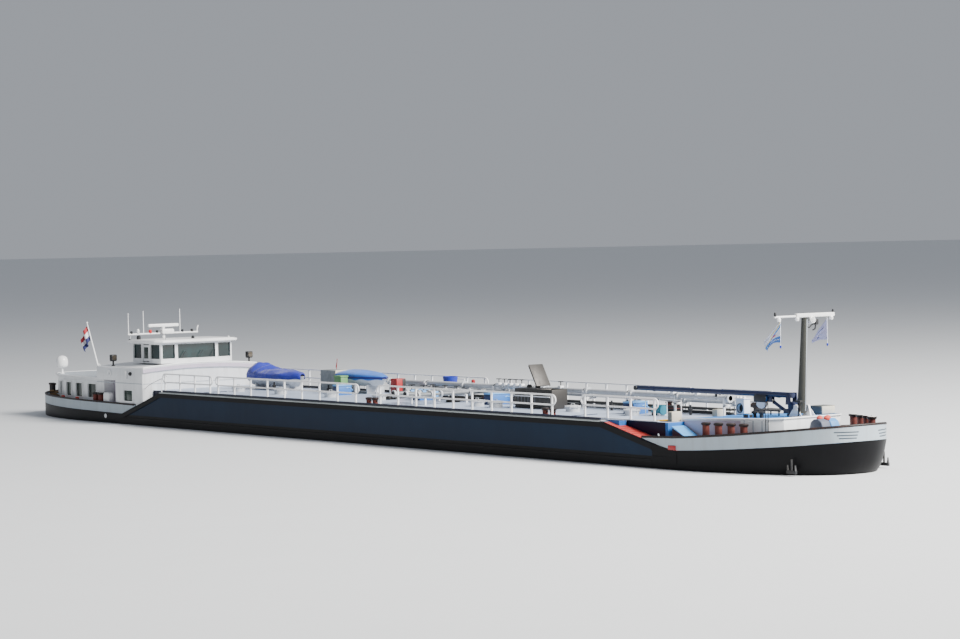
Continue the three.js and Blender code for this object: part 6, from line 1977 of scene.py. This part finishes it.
def build_floor(colour):
    material, tree, shader = start_material("floor")
    place = tree.nodes.new("ShaderNodeTexCoord").outputs["Object"]
    share = spread(tree, noise_field(tree, place, 3.0, Detail=4.0), 0.3, 0.7)
    cloudy(tree, shader, share, [c * 0.985 for c in colour], colour)
    shader.inputs["Roughness"].default_value = 0.85
    floor = bmesh.new()
    bmesh.ops.create_circle(floor, cap_ends=True, radius=FLOOR_RADIUS, segments=96)
    mesh = bpy.data.meshes.new("floor")
    floor.to_mesh(mesh)
    floor.free()
    mesh.transform(Matrix.Translation((0, 0, FLOOR_HEIGHT)))
    mesh.materials.append(material)
    disc = bpy.data.objects.new("floor", mesh)
    bpy.context.scene.collection.objects.link(disc)


def light_scene(fill, power):
    """Pale surroundings and one broad lamp."""
    world = bpy.data.worlds.new("surround")
    world.use_nodes = True
    background = world.node_tree.nodes["Background"]
    background.inputs["Color"].default_value = (0.86, 0.91, 1.0, 1)
    background.inputs["Strength"].default_value = fill
    bpy.context.scene.world = world
    lamp = bpy.data.lights.new("key", "AREA")
    lamp.energy = power
    lamp.size = 7.0
    lamp.color = (1.0, 0.97, 0.92)
    key = bpy.data.objects.new("key", lamp)
    bpy.context.scene.collection.objects.link(key)
    toward = Vector(KEY_DIRECTION).normalized()
    key.location = Vector((0, 0, 0.3)) + toward * KEY_DISTANCE
    key.rotation_euler = toward.to_track_quat("Z", "Y").to_euler()


def aim_camera(focal_length):
    lens = bpy.data.cameras.new("camera")
    lens.lens = focal_length
    lens.sensor_width = 36
    lens.clip_end = 1000
    camera = bpy.data.objects.new("camera", lens)
    bpy.context.scene.collection.objects.link(camera)
    level = Vector((-math.cos(CAMERA_COURSE), math.sin(CAMERA_COURSE), 0))
    right = Vector((math.sin(CAMERA_COURSE), math.cos(CAMERA_COURSE), 0))
    up = Vector((0, 0, 1))
    ahead = level * math.cos(CAMERA_PITCH) - up * math.sin(CAMERA_PITCH)
    above = level * math.sin(CAMERA_PITCH) + up * math.cos(CAMERA_PITCH)
    axis_x = right * math.cos(CAMERA_ROLL) - above * math.sin(CAMERA_ROLL)
    axis_y = right * math.sin(CAMERA_ROLL) + above * math.cos(CAMERA_ROLL)
    turn = Matrix((axis_x, axis_y, -ahead)).transposed().to_4x4()
    camera.matrix_world = Matrix.Translation(CAMERA_PLACE) @ turn
    bpy.context.scene.camera = camera


# Operators


class TANKER_OT_Stage(bpy.types.Operator):
    """Floor at the waterline, light and camera"""
    bl_idname = "tanker.stage"
    bl_label = "Stage"

    def execute(self, context):
        build_stage()
        return {"FINISHED"}


class TANKER_OT_Hull(bpy.types.Operator):
    """Hull paint, round ends, screw and rudders"""
    bl_idname = "tanker.hull"
    bl_label = "Hull"

    def execute(self, context):
        build_hull()
        return {"FINISHED"}


class TANKER_OT_Bulwarks(bpy.types.Operator):
    """Bulwark plating with rails and brackets"""
    bl_idname = "tanker.bulwarks"
    bl_label = "Bulwarks"

    def execute(self, context):
        build_bulwarks()
        return {"FINISHED"}


class TANKER_OT_Rails(bpy.types.Operator):
    """Guard rails with curled ends"""
    bl_idname = "tanker.rails"
    bl_label = "Guard Rails"

    def execute(self, context):
        build_rails()
        return {"FINISHED"}


class TANKER_OT_Bollards(bpy.types.Operator):
    """Mooring bollards"""
    bl_idname = "tanker.bollards"
    bl_label = "Bollards"

    def execute(self, context):
        build_bollards()
        return {"FINISHED"}


class TANKER_OT_House(bpy.types.Operator):
    """House, cabins and doors"""
    bl_idname = "tanker.house"
    bl_label = "House"

    def execute(self, context):
        build_superstructure()
        build_aft_house()
        return {"FINISHED"}


class TANKER_OT_Wheelhouse(bpy.types.Operator):
    """Wheelhouse with its roof and glass"""
    bl_idname = "tanker.wheelhouse"
    bl_label = "Wheelhouse"

    def execute(self, context):
        build_wheelhouse()
        return {"FINISHED"}


class TANKER_OT_Aerials(bpy.types.Operator):
    """Radar, dome, aerials and searchlights"""
    bl_idname = "tanker.aerials"
    bl_label = "Aerials"

    def execute(self, context):
        build_aerials()
        return {"FINISHED"}


class TANKER_OT_Pipes(bpy.types.Operator):
    """Cargo pipes and the pump housing"""
    bl_idname = "tanker.pipes"
    bl_label = "Pipes"

    def execute(self, context):
        build_pipes()
        build_housing()
        return {"FINISHED"}


class TANKER_OT_Boats(bpy.types.Operator):
    """Two boats under cloth covers"""
    bl_idname = "tanker.boats"
    bl_label = "Boats"

    def execute(self, context):
        build_boats()
        return {"FINISHED"}


class TANKER_OT_DeckGear(bpy.types.Operator):
    """Boxes, hatches and loose gear"""
    bl_idname = "tanker.deck_gear"
    bl_label = "Deck Gear"

    def execute(self, context):
        build_deck_gear()
        return {"FINISHED"}


class TANKER_OT_Foredeck(bpy.types.Operator):
    """Foredeck house, vents and winch"""
    bl_idname = "tanker.foredeck"
    bl_label = "Foredeck"

    def execute(self, context):
        build_foredeck()
        return {"FINISHED"}


class TANKER_OT_Crane(bpy.types.Operator):
    """Boom crane and folding mast"""
    bl_idname = "tanker.crane"
    bl_label = "Crane And Mast"

    def execute(self, context):
        build_crane()
        build_mast()
        return {"FINISHED"}


class TANKER_OT_Flags(bpy.types.Operator):
    """Ensign and two pennants"""
    bl_idname = "tanker.flags"
    bl_label = "Flags"

    def execute(self, context):
        build_flags()
        return {"FINISHED"}


OPERATORS = (
    TANKER_OT_Stage, TANKER_OT_Hull, TANKER_OT_Bulwarks, TANKER_OT_Rails, TANKER_OT_Bollards,
    TANKER_OT_House, TANKER_OT_Wheelhouse, TANKER_OT_Aerials, TANKER_OT_Pipes, TANKER_OT_Boats,
    TANKER_OT_DeckGear, TANKER_OT_Foredeck, TANKER_OT_Crane, TANKER_OT_Flags)
GROUPS = {"tanker_hull": HullPaint, "tanker_rails": RailSizes, "tanker_stage": StageLight}


class TANKER_PT_Panel(bpy.types.Panel):
    """Lists the operators and their settings."""
    bl_label = "Tanker"
    bl_idname = "TANKER_PT_panel"
    bl_space_type = "VIEW_3D"
    bl_region_type = "UI"
    bl_category = "Tanker"

    def draw(self, context):
        for name, group in GROUPS.items():
            for key in group.__annotations__:
                self.layout.prop(getattr(context.scene, name), key)
        for entry in OPERATORS:
            self.layout.operator(entry.bl_idname)


def register():
    for name, group in GROUPS.items():
        bpy.utils.register_class(group)
        setattr(bpy.types.Scene, name, bpy.props.PointerProperty(type=group))
    for entry in OPERATORS:
        bpy.utils.register_class(entry)
    bpy.utils.register_class(TANKER_PT_Panel)


def unregister():
    bpy.utils.unregister_class(TANKER_PT_Panel)
    for entry in reversed(OPERATORS):
        bpy.utils.unregister_class(entry)
    for name, group in reversed(GROUPS.items()):
        delattr(bpy.types.Scene, name)
        bpy.utils.unregister_class(group)


def main():
    register()
    for entry in OPERATORS:
        package, name = entry.bl_idname.split(".")
        getattr(getattr(bpy.ops, package), name)()


if __name__ == "__main__":
    main()
